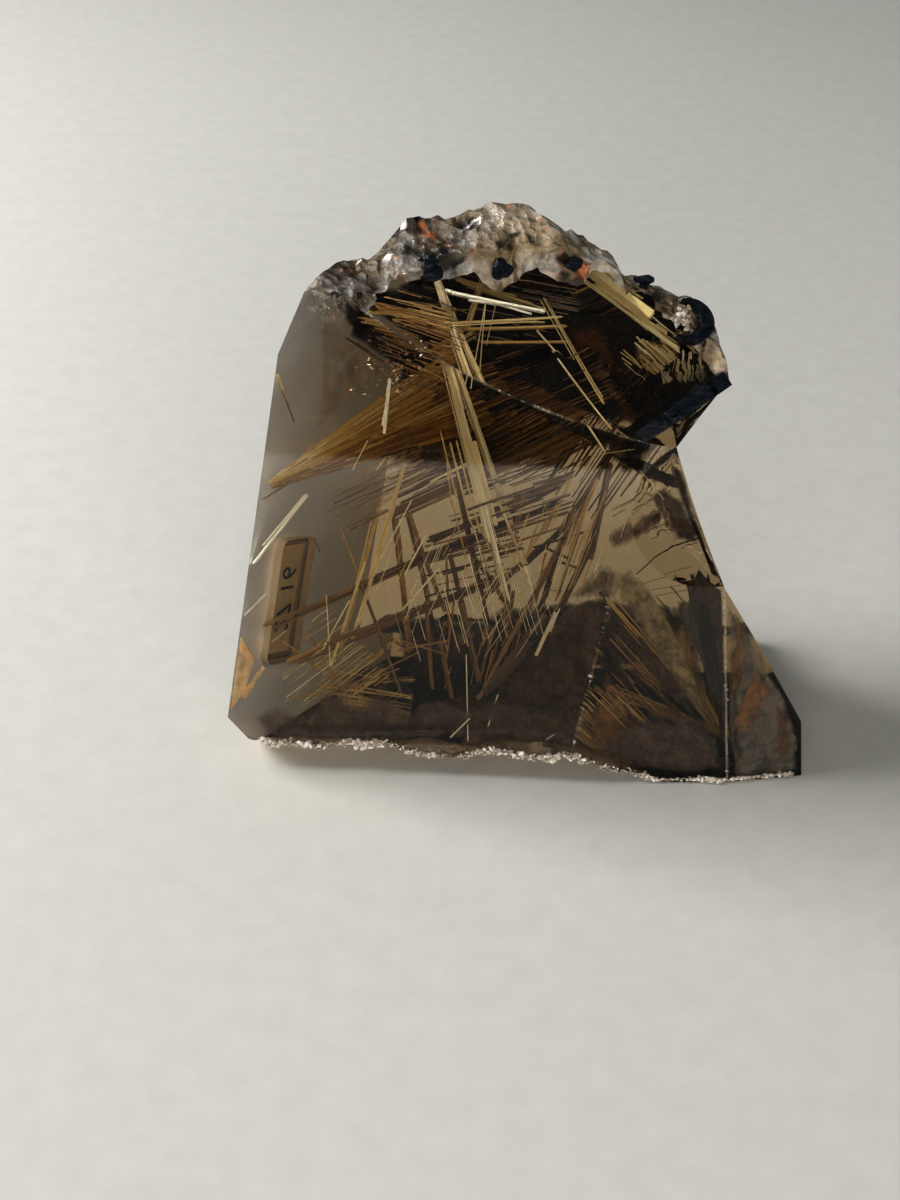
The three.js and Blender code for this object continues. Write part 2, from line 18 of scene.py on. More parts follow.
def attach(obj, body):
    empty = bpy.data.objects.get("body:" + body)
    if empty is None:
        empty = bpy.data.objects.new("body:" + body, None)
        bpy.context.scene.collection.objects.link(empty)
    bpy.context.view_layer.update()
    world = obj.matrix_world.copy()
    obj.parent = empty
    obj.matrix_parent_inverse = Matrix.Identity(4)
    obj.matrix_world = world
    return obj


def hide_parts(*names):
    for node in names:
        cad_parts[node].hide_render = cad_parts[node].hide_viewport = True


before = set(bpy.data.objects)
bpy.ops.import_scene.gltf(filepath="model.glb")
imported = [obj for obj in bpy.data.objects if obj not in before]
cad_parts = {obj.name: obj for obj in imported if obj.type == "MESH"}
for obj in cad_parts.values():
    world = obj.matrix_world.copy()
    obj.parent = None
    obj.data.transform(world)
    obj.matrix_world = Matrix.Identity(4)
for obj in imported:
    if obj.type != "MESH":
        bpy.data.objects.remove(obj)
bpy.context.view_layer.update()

MM = 0.001
print("nodes", len(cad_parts))

# %% [markdown]
# ## The frame of the crystal
#
# A prism of quartz has flat faces that meet at fixed angles. The big front face is the natural
# drawing board here: a place is given across it, up it and by its depth behind it.

# %% The front face and places behind it
FRONT_LEAN = math.radians(13.7)
FRONT_HEADING = math.radians(-4.4)
FRONT_AT_FLOOR = Vector((0, -22.3, 0)) * MM
PRISM_THICKNESS = 26 * MM
LABEL_FACE_TURN = -120
BREAK_TURN = 4
END_TURN = 8
UP = Vector((0, 0, 1))
RIGHT = Vector((1, 0, 0))

front_normal = Vector((
    math.sin(FRONT_HEADING) * math.cos(FRONT_LEAN),
    -math.cos(FRONT_HEADING) * math.cos(FRONT_LEAN),
    math.sin(FRONT_LEAN),
))
inward = -front_normal
across = Vector((math.cos(FRONT_HEADING), math.sin(FRONT_HEADING), 0))
rise = front_normal.cross(across)


def in_crystal(place):
    """A place in mm across, up and behind the front face, as a point in metres."""
    a, r, depth = place
    return FRONT_AT_FLOOR + (across * a + rise * r + inward * depth) * MM


class Face:
    """A flat face: a point on it and the normal that points out of the crystal."""

    def __init__(self, point, normal):
        self.point = point
        self.normal = normal.normalized()

    def at(self, x, z):
        """The point of the face over x and z, given in mm."""
        n = self.normal
        x, z = x * MM, z * MM
        y = self.point.y - (n.x * (x - self.point.x) + n.z * (z - self.point.z)) / n.y
        return Vector((x, y, z))

    def height(self, point):
        return (point - self.point).dot(self.normal)


def turned_face(face, foot, top, degrees):
    """The face that meets another in the edge from foot to top."""
    edge = (top - foot).normalized()
    return Face(foot, Matrix.Rotation(math.radians(degrees), 3, edge) @ face.normal)


def face_through(a, b, backward, looking_to):
    """The face through two points that also runs backward."""
    normal = (b - a).cross(backward)
    return Face(a, normal if normal.dot(looking_to) > 0 else -normal)


print("front face leans", round(math.degrees(FRONT_LEAN), 1), "degrees")

# %% [markdown]
# ## The flat faces
#
# The same faces bound the solids of the model. The left face carries the label, and the right of
# the front face is broken twice, along two weak edges.

# %% Faces of the crystal
front = Face(FRONT_AT_FLOOR, front_normal)
left_foot, left_top = front.at(-40.5, 3), front.at(-29.8, 63.6)
label_face = turned_face(front, left_foot, left_top, LABEL_FACE_TURN)
back = Face(FRONT_AT_FLOOR + inward * PRISM_THICKNESS, inward)

break_foot, break_top = front.at(7.3, 3.5), front.at(12.2, 27.3)
break_face = turned_face(front, break_foot, break_top, BREAK_TURN)
end_foot, end_top = break_face.at(28.8, 1.5), break_face.at(26.9, 27.9)
end_facet = turned_face(break_face, end_foot, end_top, END_TURN)

BACKWARD = Vector((-0.2, 1, 0))
waist = face_through(end_top, break_face.at(19.4, 47.4), BACKWARD, RIGHT)
bulge_point = end_facet.at(32.6, 18.6)
end_bulge = face_through(end_top, bulge_point, BACKWARD, RIGHT)
end_slope = face_through(bulge_point, end_facet.at(38.6, 8.2), BACKWARD, RIGHT)
end_face = Face(Vector((38.9, -20, 5)) * MM, Vector((1, 0.12, 0.05)))
shoulder = Face(Vector((26.4, 0, 55)) * MM, Vector((1, 0.1, 0.12)))
underside = Face(Vector((19.5, -10.3, 45.7)) * MM, Vector((0.72, -0.27, -0.64)))
left_corner = face_through(
    front.at(-30.9, 57), front.at(-27.5, 64.4), Vector((0.5, 0.8, 0)), Vector((-1, 0, 1)))
foot_chamfer = Face(Vector((-39.8, -16.8, 6.6)) * MM, Vector((-0.74, -0.35, -0.57)))
ledge_back = Face(Vector((0, 13, 0)) * MM, Vector((0.09, 1, -0.15)))
below_waist = Face(end_top, -UP)
above_slope = Face(end_top - UP * 0.02 * MM, UP)
below_floor = Face(-UP * MM, -UP)
outer_faces = [
    front, label_face, break_face, end_facet, end_face, left_corner, foot_chamfer, ledge_back, below_floor,
]
print("faces all round", len(outer_faces))

# %% [markdown]
# ## Cutting stone with planes
#
# A crystal is easiest to make the way it is described: start from a block and bisect it with each
# face in turn, throwing the outer part away. Where a face ends inside the stone, a second block
# that fills the space outside the faces is made the same way and taken off with a Boolean.

# %% Helpers for picking, bisecting and carving
REACH = 200 * MM


def added(name, add, **settings):
    """The object that an add operator makes."""
    bpy.ops.object.select_all(action="DESELECT")
    add(**settings)
    piece = bpy.context.object
    piece.name = name
    return piece


def linked(name, data):
    piece = bpy.data.objects.new(name, data)
    bpy.context.scene.collection.objects.link(piece)
    return piece


def pick(piece):
    bpy.ops.object.select_all(action="DESELECT")
    piece.select_set(True)
    bpy.context.view_layer.objects.active = piece


def edit(piece):
    pick(piece)
    bpy.ops.object.mode_set(mode="EDIT")
    bpy.ops.mesh.select_all(action="SELECT")


def leave_edit():
    bpy.ops.object.mode_set(mode="OBJECT")


def extrude(piece, move):
    """Sweeps an open sheet along move, which closes it, and turns its faces outward."""
    edit(piece)
    bpy.ops.mesh.extrude_region_move(TRANSFORM_OT_translate={"value": move})
    leave_edit()
    face_outward(piece)


def bisect(face, keep_inside):
    bpy.ops.mesh.select_all(action="SELECT")
    bpy.ops.mesh.bisect(
        plane_co=face.point, plane_no=face.normal, use_fill=True,
        clear_outer=keep_inside, clear_inner=not keep_inside,
    )


def face_outward(piece):
    edit(piece)
    bpy.ops.mesh.normals_make_consistent(inside=False)
    leave_edit()


def block_outside(name, surface, *faces):
    """A block that fills the space outside every one of the faces."""
    block = added(name, bpy.ops.mesh.primitive_cube_add, size=REACH * 2)
    edit(block)
    for face in faces:
        bisect(face, keep_inside=False)
    leave_edit()
    face_outward(block)
    block.data.materials.append(surface)
    return block


def apply_modifier(piece, kind, **settings):
    pick(piece)
    modifier = piece.modifiers.new(kind.title(), kind)
    for key, value in settings.items():
        setattr(modifier, key, value)
    bpy.ops.object.modifier_apply(modifier=modifier.name)


def combine(piece, other, operation, overlapping=False):
    apply_modifier(
        piece, "BOOLEAN", object=other, operation=operation, solver="EXACT",
        material_mode="TRANSFER", use_self=overlapping,
    )
    bpy.data.objects.remove(other)


def surface_name(name):
    """A stand-in material that only remembers how a surface of the stone was made."""
    return bpy.data.materials.new("surface_" + name)


SURFACE_NAMES = ("polished", "scooped", "crusted", "rusty", "base", "chipped")
polished, scooped, crusted, rusty, broken_base, chipped = map(surface_name, SURFACE_NAMES)
print("surfaces", len(SURFACE_NAMES))

# %% [markdown]
# ## The block and its flat faces
#
# The faces all round the crystal bisect a block. At its broken right end, four cuts and one
# shallow scoop at the waist take off the rest.

# %% Bisect the block
quartz = added("clear_smoky_quartz", bpy.ops.mesh.primitive_cube_add, size=REACH)
quartz.data.materials.append(polished)
edit(quartz)
for face in outer_faces:
    bisect(face, keep_inside=True)
leave_edit()
face_outward(quartz)

RIGHT_END_CUTS = {
    "waist_cut": (scooped, waist, underside, above_slope),
    "shoulder_cut": (scooped, shoulder, above_slope),
    "slope_cut": (polished, end_slope, below_waist),
    "bulge_cut": (polished, end_bulge, below_waist),
}
for name, (surface, *faces) in RIGHT_END_CUTS.items():
    combine(quartz, block_outside(name, surface, *faces), "DIFFERENCE")

WAIST_SCOOP = {"x": 24.5, "z": 38, "radius": 24, "bite": 2.3}
waist_at = break_face.at(WAIST_SCOOP["x"], WAIST_SCOOP["z"])
waist_at += break_face.normal * (WAIST_SCOOP["radius"] - WAIST_SCOOP["bite"]) * MM
waist_cutter = added(
    "waist_cutter", bpy.ops.mesh.primitive_ico_sphere_add, subdivisions=6, radius=WAIST_SCOOP["radius"] * MM)
waist_cutter.data.transform(Matrix.Translation(waist_at))
waist_cutter.data.materials.append(scooped)
combine(quartz, waist_cutter, "DIFFERENCE")
print("flat stone", len(quartz.data.polygons), "faces")

# %% [markdown]
# ## Rough surfaces
#
# The crust on top, the ledge at the back and the broken base are rough. Each is a grid whose
# points are set by a height rule, pushed away from the stone into a closed block and subtracted.

# %% Rough cutters
def between(points, x, column):
    """The value in a column of a list of points, at x."""
    return float(np.interp(x, [p[0] for p in points], [p[column] for p in points]))


def rough_block(name, surface, span_a, span_b, cell, place, push):
    """place(a, b) gives each point of the grid in mm; push extends the grid to a closed block."""
    columns = round((span_a[1] - span_a[0]) / cell)
    rows = round((span_b[1] - span_b[0]) / cell)
    block = added(name, bpy.ops.mesh.primitive_grid_add, x_subdivisions=columns, y_subdivisions=rows, size=2)
    for vertex in block.data.vertices:
        a = span_a[0] + (vertex.co.x + 1) / 2 * (span_a[1] - span_a[0])
        b = span_b[0] + (vertex.co.y + 1) / 2 * (span_b[1] - span_b[0])
        vertex.co = Vector(place(a, b)) * MM
    extrude(block, Vector(push) * MM)
    block.data.materials.append(surface)
    return block


def ragged(x, y, size, octaves=4):
    """Broken relief from about -1 to 1, with coarse and fine lumps."""
    return noise.fractal(Vector((x, y, 0)) / size, 0.9, 2.1, octaves)


def chunky(x, y, size):
    """Flat-topped blocks, like a surface that broke along cleavages."""
    return noise.cell(Vector((x + 0.4 * y, y - 0.2 * x, 0)) / size) * 2 - 1


def relief(x, y, lump, size, *blocks, octaves=4):
    """Lumps of a height and size, and blocks given as (height, size), all in mm."""
    height = lump * ragged(x, y, size, octaves)
    for block_height, block_size in blocks:
        height += block_height * chunky(x, y, block_size)
    return height


def smoothstep(value, start, end):
    t = min(max((value - start) / (end - start), 0), 1)
    return t * t * (3 - 2 * t)


print("relief of the base at the middle", round(relief(0, 0, 0.8, 6, (0.25, 3)), 2), "mm")

# %% The ledge behind and the broken base
LEDGE = {"height": 10.6, "slope": 0.35, "lump": 1.1, "size": 5}
BASE_RELIEF = (0.8, 6, (0.25, 3))
BASE_SUNK = 0.55
BASE_RIM = {"lift": 4.4, "back_y": -10, "front_y": -19, "left_x": 6, "right_x": 22}


def ledge_top(x, y):
    return (x, y, LEDGE["height"] - LEDGE["slope"] * y + relief(x, y, LEDGE["lump"], LEDGE["size"]))


def base_height(x, y):
    to_front = smoothstep(-y, -BASE_RIM["back_y"], -BASE_RIM["front_y"])
    to_left = 1 - smoothstep(x, BASE_RIM["left_x"], BASE_RIM["right_x"])
    lump = relief(x, y, *BASE_RELIEF)
    return (x, y, max(0, BASE_RIM["lift"] * to_front * to_left + lump - BASE_SUNK))


above_ledge = rough_block("above_ledge", scooped, (-60, 60), (-30, 30), 1.5, ledge_top, (0, 0, 90))
behind = block_outside("behind_the_back", polished, back)
combine(behind, above_ledge, "INTERSECT")
combine(quartz, behind, "DIFFERENCE")
base_cutter = rough_block("base_cutter", broken_base, (-60, 60), (-40, 40), 1.2, base_height, (0, 0, -40))
combine(quartz, base_cutter, "DIFFERENCE")
print("with ledge and base", len(quartz.data.polygons), "faces")

# %% [markdown]
# ## The scoop and the crust
#
# The top broke away in one shallow scoop, as glass does, with faint waves. Above it stands the
# rough crust. The scoop is a stretched sphere from which the stone behind the crust's rim is
# taken, so that one cut makes both the scoop and the wall of the crust.

# %% Scoop and crust
SCOOP_POINT = Vector((-1.8, -3, 58.85)) * MM
SCOOP_NORMAL = Vector((0.27, -0.597, 0.77)).normalized()
SCOOP_HALF_AXES = Vector((72, 42, 30)) * MM
SCOOP_DIP = 1.6 * MM
# The rim of the crust from left to right, as x and y, and its crown, as x, y and z.
CRUST_RIM = [
    (-30, -6), (-24, -2.9), (-19, -2.2), (-15.5, -1.4), (-12.5, 0.4), (-9, 2.2), (-4, 3.8), (1, 4.6),
    (7, 7), (12, 8.4), (17, 7.8), (21, 6.4), (24, 3.8), (30, -2),
]
RIM_LEAN = {"slope": 0.25, "from_z": 64}
CROWN = [
    (-29, -5, 63.6), (-27, -2, 65.8), (-25, 0, 67), (-23, 2.5, 66.8), (-19, 4.5, 66.2),
    (-15, 7, 69.2), (-10.5, 9, 69.4), (-7, 11, 69.6), (-4, 11, 69.8), (0, 11, 69.4), (5, 11, 67.8),
    (9, 11, 65.2), (12, 10.5, 64.2), (14, 10, 61.6), (18, 9.5, 60), (22, 8, 58.8), (25, 5.5, 57),
    (30, 0, 52.5),
]
CROWN_SLOPES = {"front": 0.32, "back": 0.8}


def scoop_frame():
    y = SCOOP_NORMAL.cross(RIGHT).normalized()
    return Matrix((y.cross(SCOOP_NORMAL), y, SCOOP_NORMAL)).transposed()


def behind_rim(x, z):
    wall = RIM_LEAN["slope"] * (z - RIM_LEAN["from_z"]) + relief(x, z, 1.1, 5, (0.35, 2.8), octaves=5)
    return (x, between(CRUST_RIM, x, 1) + wall, z)


def crust_height(x, y):
    crown_y = between(CROWN, x, 1)
    slope = CROWN_SLOPES["front" if y < crown_y else "back"]
    lumps = relief(x, y, 1.1, 6.5, (0.32, 3.3), (0.1, 1.2), octaves=6)
    return (x, y, between(CROWN, x, 2) - slope * abs(y - crown_y) + lumps)


scoop = added("scoop", bpy.ops.mesh.primitive_ico_sphere_add, subdivisions=6, radius=1)
scoop_centre = SCOOP_POINT + SCOOP_NORMAL * (SCOOP_HALF_AXES.z - SCOOP_DIP)
scoop.data.transform(
    Matrix.Translation(scoop_centre) @ scoop_frame().to_4x4() @ Matrix.Diagonal(SCOOP_HALF_AXES).to_4x4())
scoop.data.materials.append(scooped)
rim = rough_block("behind_rim", crusted, (-60, 60), (20, 110), 1.1, behind_rim, (0, 90, 0))
combine(scoop, rim, "DIFFERENCE")
combine(quartz, scoop, "DIFFERENCE")
above_crust = rough_block("above_crust", crusted, (-50, 50), (-35, 35), 0.8, crust_height, (0, 0, 90))
combine(quartz, above_crust, "DIFFERENCE")
print("with scoop and crust", len(quartz.data.polygons), "faces")

# %% [markdown]
# ## The crusted upper back
#
# The crust goes on down the back of the crystal to about half its height, rusty brown and opaque.
# It is why the stone is so dark behind the scoop, while the lower part is clear from front to back.

# %% Crust behind
BACK_CRUST = {
    "from_z": 38.5, "wander": 2.2, "fade": 1.2, "relief": (0.55, 4.5, (0.25, 2.8)), "depth": 0.6,
    "least": 0.05, "clear_by": 1.5,
}


def behind_back(x, z):
    """The cutter bites into the crusted part and stays clear of the back below it."""
    limit = BACK_CRUST["from_z"] + BACK_CRUST["wander"] * ragged(x, 3, 9)
    coat = smoothstep(z, limit - BACK_CRUST["fade"], limit + BACK_CRUST["fade"])
    bite = max(BACK_CRUST["depth"] + relief(x, z, *BACK_CRUST["relief"]), BACK_CRUST["least"])
    return (x, back.at(x, z).y / MM + BACK_CRUST["clear_by"] * (1 - coat) - coat * bite, z)


back_cutter = rough_block("behind_back", rusty, (-50, 50), (28, 90), 1.3, behind_back, (0, 60, 0))
combine(quartz, back_cutter, "DIFFERENCE")
print("with crusted back", len(quartz.data.polygons), "faces")

# %% [markdown]
# ## Shapes that repeat
#
# Needles, chips and flakes come by the hundred. Each is modelled once, and its points are then
# copied to every place and joined in one mesh, with one number for each copy that its finish can
# read, such as how golden a needle is.

# %% A pattern and its copies
class Pattern:
    """A small shape modelled once. Its object is taken away, and copies() places it."""

    def __init__(self, piece):
        self.points = np.array([vertex.co[:] for vertex in piece.data.vertices])
        self.faces = [tuple(face.vertices) for face in piece.data.polygons]
        bpy.data.objects.remove(piece)

    def copies(self, name, places, tones):
        """places are 4 x 4 matrices; tones gives each copy's value of the attribute tone."""
        points, faces = [], []
        for number, place in enumerate(places):
            m = np.array(place)
            points.append(self.points @ m[:3, :3].T + m[:3, 3])
            first = number * len(self.points)
            faces += [tuple(first + corner for corner in face) for face in self.faces]
        mesh = bpy.data.meshes.new(name)
        mesh.from_pydata(np.concatenate(points), [], faces)
        tone = mesh.attributes.new("tone", "FLOAT", "POINT")
        tone.data.foreach_set("value", np.repeat(np.array(tones, dtype=np.float32), len(self.points)))
        return linked(name, mesh)


def turned(rng):
    axis = Vector((rng.gauss(0, 1) for _ in range(3))).normalized()
    return Matrix.Rotation(rng.uniform(0, math.tau), 4, axis)


def sized(x, y, z):
    return Matrix.Diagonal((x, y, z, 1))


chip_stone = added("chip_stone", bpy.ops.mesh.primitive_ico_sphere_add, subdivisions=2, radius=1)
for vertex in chip_stone.data.vertices:
    vertex.co *= 1 + 0.3 * noise.noise(vertex.co * 1.7)
chip_pattern = Pattern(chip_stone)
print("chip pattern", len(chip_pattern.faces), "faces")

# %% [markdown]
# ## Chipped edges
#
# Quartz is hard but brittle, so its free edges lose small flakes that look white. Chips are
# scattered along the ridge under the scoop, the two weak edges and the rim of the base. Each chip
# is a lumpy copy of one pattern, and all of them are taken off in a single Boolean.

# %% Chips along the edges
def in_scoop(point):
    local = scoop_frame().transposed() @ (point - scoop_centre)
    return Vector(local[i] / SCOOP_HALF_AXES[i] for i in range(3)).length < 1


def ridge_point(x):
    """The point of the front face where the scoop ends, over x in mm."""
    z = 72
    while z > 30 and not in_scoop(front.at(x, z)):
        z -= 0.1
    while z > 30 and in_scoop(front.at(x, z)):
        z -= 0.1
    return front.at(x, z)


def rim_point(x):
    """The point of the front's lower rim over x in mm."""
    face = front if x < 10 else break_face if x < 28 else end_facet
    z = 2
    for _ in range(4):
        z = base_height(x, face.at(x, z).y / MM)[2]
    return face.at(x, z)


def along_line(points, spacing, rng):
    """Places along a line of points, about spacing mm apart."""
    places = []
    for a, b in zip(points, points[1:]):
        count = max(1, round((b - a).length / MM / spacing))
        places += [a.lerp(b, (i + rng.uniform(0, 1)) / count) for i in range(count)]
    return places


def chips_on(points, outward, sizes, rng):
    """Matrices of chips whose centres lie outside the edge, so that only a part bites."""
    places = []
    for point in points:
        size = sizes[0] * (sizes[1] / sizes[0]) ** (rng.random() ** 2) * MM
        centre = point + outward.normalized() * size * rng.uniform(0.6, 0.95)
        places.append(
            Matrix.Translation(centre) @ turned(rng) @ sized(size * rng.uniform(1, 1.9), size, size * 0.7))
    return places


rng = random.Random(7)
ridge_line = [ridge_point(x) for x in range(-23, 16)]
rim_line = [rim_point(x) for x in range(-38, 39)]
CHIPPED_EDGES = [
    # line, spacing in mm, outward, smallest and largest chip in mm
    (ridge_line, 0.8, front_normal + SCOOP_NORMAL, (0.1, 0.6)),
    ([break_foot, break_top], 1.1, front_normal + break_face.normal, (0.1, 0.4)),
    ([end_foot, end_top], 0.9, break_face.normal + end_facet.normal, (0.1, 0.45)),
    (rim_line, 0.75, front_normal - UP, (0.4, 1.5)),
]
chips = []
for line, spacing, outward, sizes in CHIPPED_EDGES:
    chips += chips_on(along_line(line, spacing, rng), outward, sizes, rng)
chip_cutter = chip_pattern.copies("chip_cutter", chips, [0] * len(chips))
face_outward(chip_cutter)
chip_cutter.data.materials.append(chipped)
combine(quartz, chip_cutter, "DIFFERENCE", overlapping=True)
print("chips", len(chips), "stone", len(quartz.data.polygons), "faces")

# %% [markdown]
# ## One skin for the whole stone
#
# Light that enters through one face must leave through the same material, or the renderer loses
# count of the brown inside. So the stand-in materials become named attributes of the faces, and
# the crystal gets a single finish that reads them.

# %% Surfaces become attributes
SURFACES = {"crusted": "crust", "rusty": "rust", "base": "base", "chipped": "chip", "scooped": "fracture"}
FROSTED_FACES = [label_face, left_corner]
SAME_DIRECTION = 0.999
SAME_PLANE = 0.1 * MM
SMOOTH_UP_TO = math.radians(28)
FLAT_FROM = 3 * MM ** 2


def lies_on(polygon, face):
    return polygon.normal.dot(face.normal) > SAME_DIRECTION and abs(face.height(polygon.center)) < SAME_PLANE


def remember_surfaces(piece):
    made = [material.name.replace("surface_", "").split(".")[0] for material in piece.data.materials]
    polygons = piece.data.polygons
    marks = {
        attribute: [float(made[polygon.material_index] == surface) for polygon in polygons]
        for surface, attribute in SURFACES.items()}
    marks["satin"] = [float(any(lies_on(polygon, face) for face in FROSTED_FACES)) for polygon in polygons]
    # The chamfer at the left foot is as rough as the base.
    for polygon in polygons:
        if polygon.normal.dot(foot_chamfer.normal) > SAME_DIRECTION:
            marks["base"][polygon.index] = 1.0
    for attribute, values in marks.items():
        piece.data.attributes.new(attribute, "FLOAT", "FACE").data.foreach_set("value", values)
        print(attribute, int(sum(values)), "faces")
    polygons.foreach_set("material_index", [0] * len(polygons))
    piece.data.materials.clear()


remember_surfaces(quartz)
pick(quartz)
bpy.ops.object.shade_smooth_by_angle(angle=SMOOTH_UP_TO)
small = [polygon.area < FLAT_FROM for polygon in quartz.data.polygons]
quartz.data.polygons.foreach_set("use_smooth", small)

# %% [markdown]
# ## Shader maths
#
# A finish is easier to read as a formula. The class Wire wraps the output of a node, and Python's
# operators on it add Math nodes. Every other node comes from one method of Finish.

# %% Wires and finishes
class Wire:
    """The output of a shader node, with Python's own arithmetic."""

    def __init__(self, finish, socket):
        self.finish = finish
        self.socket = socket

    def maths(self, operation, *values):
        return self.finish.node("Math", {"operation": operation}, dict(enumerate(values)))

    def __add__(self, other):
        return self.maths("ADD", self, other)

    def __radd__(self, other):
        return self.maths("ADD", other, self)

    def __sub__(self, other):
        return self.maths("SUBTRACT", self, other)

    def __rsub__(self, other):
        return self.maths("SUBTRACT", other, self)

    def __mul__(self, other):
        return self.maths("MULTIPLY", self, other)

    def __rmul__(self, other):
        return self.maths("MULTIPLY", other, self)

    def __abs__(self):
        return self.maths("ABSOLUTE", self)

    def over(self, start, end):
        """0 where the value is at start, 1 where it is at end, and held beyond them."""
        return self.finish.node("MapRange", {}, {0: self, 1: start, 2: end, 3: 0.0, 4: 1.0})

    def larger(self, other):
        return self.maths("MAXIMUM", self, other)

    def smaller(self, other):
        return self.maths("MINIMUM", self, other)


class Finish:
    """A material built from nodes."""

    def __init__(self, name):
        self.material = bpy.data.materials.new(name)
        self.material.use_nodes = True
        self.tree = self.material.node_tree
        self.tree.nodes.clear()
        self.output = self.tree.nodes.new("ShaderNodeOutputMaterial")
        self.place = self.node("TexCoord", out="Object")

    def node(self, kind, settings=None, sockets=None, out=0):
        node = self.tree.nodes.new("ShaderNode" + kind)
        for key, value in (settings or {}).items():
            if key == "stops":
                ramp = node.color_ramp
                ramp.elements[0].position, ramp.elements[1].position = value[0][0], value[-1][0]
                ramp.elements[0].color, ramp.elements[1].color = (*value[0][1], 1), (*value[-1][1], 1)
                for position, tint in value[1:-1]:
                    ramp.elements.new(position).color = (*tint, 1)
            else:
                setattr(node, key, value)
        for key, value in (sockets or {}).items():
            if isinstance(value, Wire):
                self.tree.links.new(value.socket, node.inputs[key])
            else:
                node.inputs[key].default_value = value
        return Wire(self, node.outputs[out])

    def attribute(self, name):
        return self.node("Attribute", {"attribute_name": name}, out="Fac")

    def noise(self, size, detail=4.0, roughness=0.55, distortion=0.0, stretch=(1, 1, 1)):
        """Noise from 0 to 1 whose lumps are about size metres wide."""
        where = self.node("Mapping", {}, {"Vector": self.place, "Scale": stretch})
        return self.node("TexNoise", {}, {
            "Vector": where, "Scale": 1 / size, "Detail": detail, "Roughness": roughness,
            "Distortion": distortion,
        })

    def ramp(self, value, stops):
        return self.node("ValToRGB", {"stops": stops}, {0: value})

    def blend(self, factor, a, b):
        return self.node("Mix", {"data_type": "RGBA"}, {0: factor, 6: colour(a), 7: colour(b)}, out=2)

    def bump(self, height, distance, strength=1.0):
        return self.node("Bump", {}, {"Height": height, "Distance": distance, "Strength": strength})

    def along(self, axis, place=None):
        return self.node("SeparateXYZ", {}, {0: place or self.place}, out=axis)

    def mix_shaders(self, factor, first, second):
        return self.node("MixShader", {}, {0: factor, 1: first, 2: second})

    def height_over(self, face):
        """How far the point is from a flat face, in metres."""
        settings = {"operation": "DOT_PRODUCT"}
        height = self.node("VectorMath", settings, {0: self.place, 1: face.normal}, out="Value")
        return height - face.point.dot(face.normal)

    def distance_to(self, point):
        return self.node("VectorMath", {"operation": "DISTANCE"}, {0: self.place, 1: point}, out="Value")

    def surface(self, shader):
        self.tree.links.new(shader.socket, self.output.inputs["Surface"])

    def principled(self, **sockets):
        named = {key.replace("_", " "): value for key, value in sockets.items()}
        return self.node("BsdfPrincipled", {}, named)


def colour(value):
    return value if isinstance(value, Wire) else (*value, 1)


def dress(piece, finish, slot, *nodes):
    piece.data.materials.clear()
    piece.data.materials.append(finish.material)
    if nodes:
        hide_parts(*nodes)
    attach(piece, "root")


print("shader maths ready")

# %% [markdown]
# ## Smoky quartz
#
# Clear quartz bends light by 1.544, and its smoke takes away blue more than red over the length of
# the path, which is an absorption inside the stone and no tint of its skin. Broken surfaces get
# faint waves, the label face a satin haze, and the crust, the base and the chips an opaque skin.

# %% Where the edges are bruised
BRUISE = {"ridge": 0.26 * MM, "edge": 0.24 * MM, "corner": in_crystal((-26.5, 66, 0)), "reach": 5.5 * MM}
RIM_STRIP = (0.3 * MM, 2.6 * MM)

stone_finish = Finish("smoky_quartz_clear")
crust, rust, base, chip, fracture, satin = (
    stone_finish.attribute(name) for name in ("crust", "rust", "base", "chip", "fracture", "satin"))
grit = stone_finish.noise(0.0012, 4.0, 0.7)
lumpy = stone_finish.noise(0.005, 3.5, 0.6)
flecks = stone_finish.noise(0.0007, 2.0, 0.6)

in_scoop_frame = stone_finish.node("Mapping", {"vector_type": "TEXTURE"}, {
    "Vector": stone_finish.place, "Location": scoop_centre, "Rotation": scoop_frame().to_euler(),
    "Scale": SCOOP_HALF_AXES})
scoop_radius = stone_finish.node("VectorMath", {"operation": "LENGTH"}, {0: in_scoop_frame}, out="Value")
from_scoop = abs(scoop_radius - 1) * SCOOP_HALF_AXES.z
from_front = abs(stone_finish.height_over(front))
from_break = abs(stone_finish.height_over(break_face))
from_end = abs(stone_finish.height_over(end_facet))
ridge_glow = 1 - (from_scoop + from_front).over(0.0, BRUISE["ridge"])
break_glow = 1 - (from_front + from_break).over(0.0, BRUISE["edge"] * math.sin(math.radians(BREAK_TURN)))
end_glow = 1 - (from_break + from_end).over(0.0, BRUISE["edge"] * math.sin(math.radians(END_TURN)))
corner_glow = 1 - stone_finish.distance_to(BRUISE["corner"]).over(BRUISE["reach"] * 0.3, BRUISE["reach"])
bruise = (ridge_glow * lumpy.over(0.3, 0.62) * 0.7).larger(break_glow * lumpy.over(0.4, 0.65) * 0.6)
bruise = bruise.larger(end_glow * 0.7) * (0.35 + flecks * 0.6)
bruise = bruise.larger(corner_glow * flecks.over(0.4, 0.66) * 0.5)
rim_glow = base * (1 - from_front.smaller(from_break).smaller(from_end).over(*RIM_STRIP))
print("bruises ready")

# %% The clear stone
SMOKE_COLOUR = (0.6, 0.43, 0.12, 1)
SMOKE_DENSITY = 65.0
QUARTZ_IOR = 1.544
RIPPLE_HEART = (34 * MM, -20 * MM, 45 * MM)
FACETS_A_METRE = 650.0

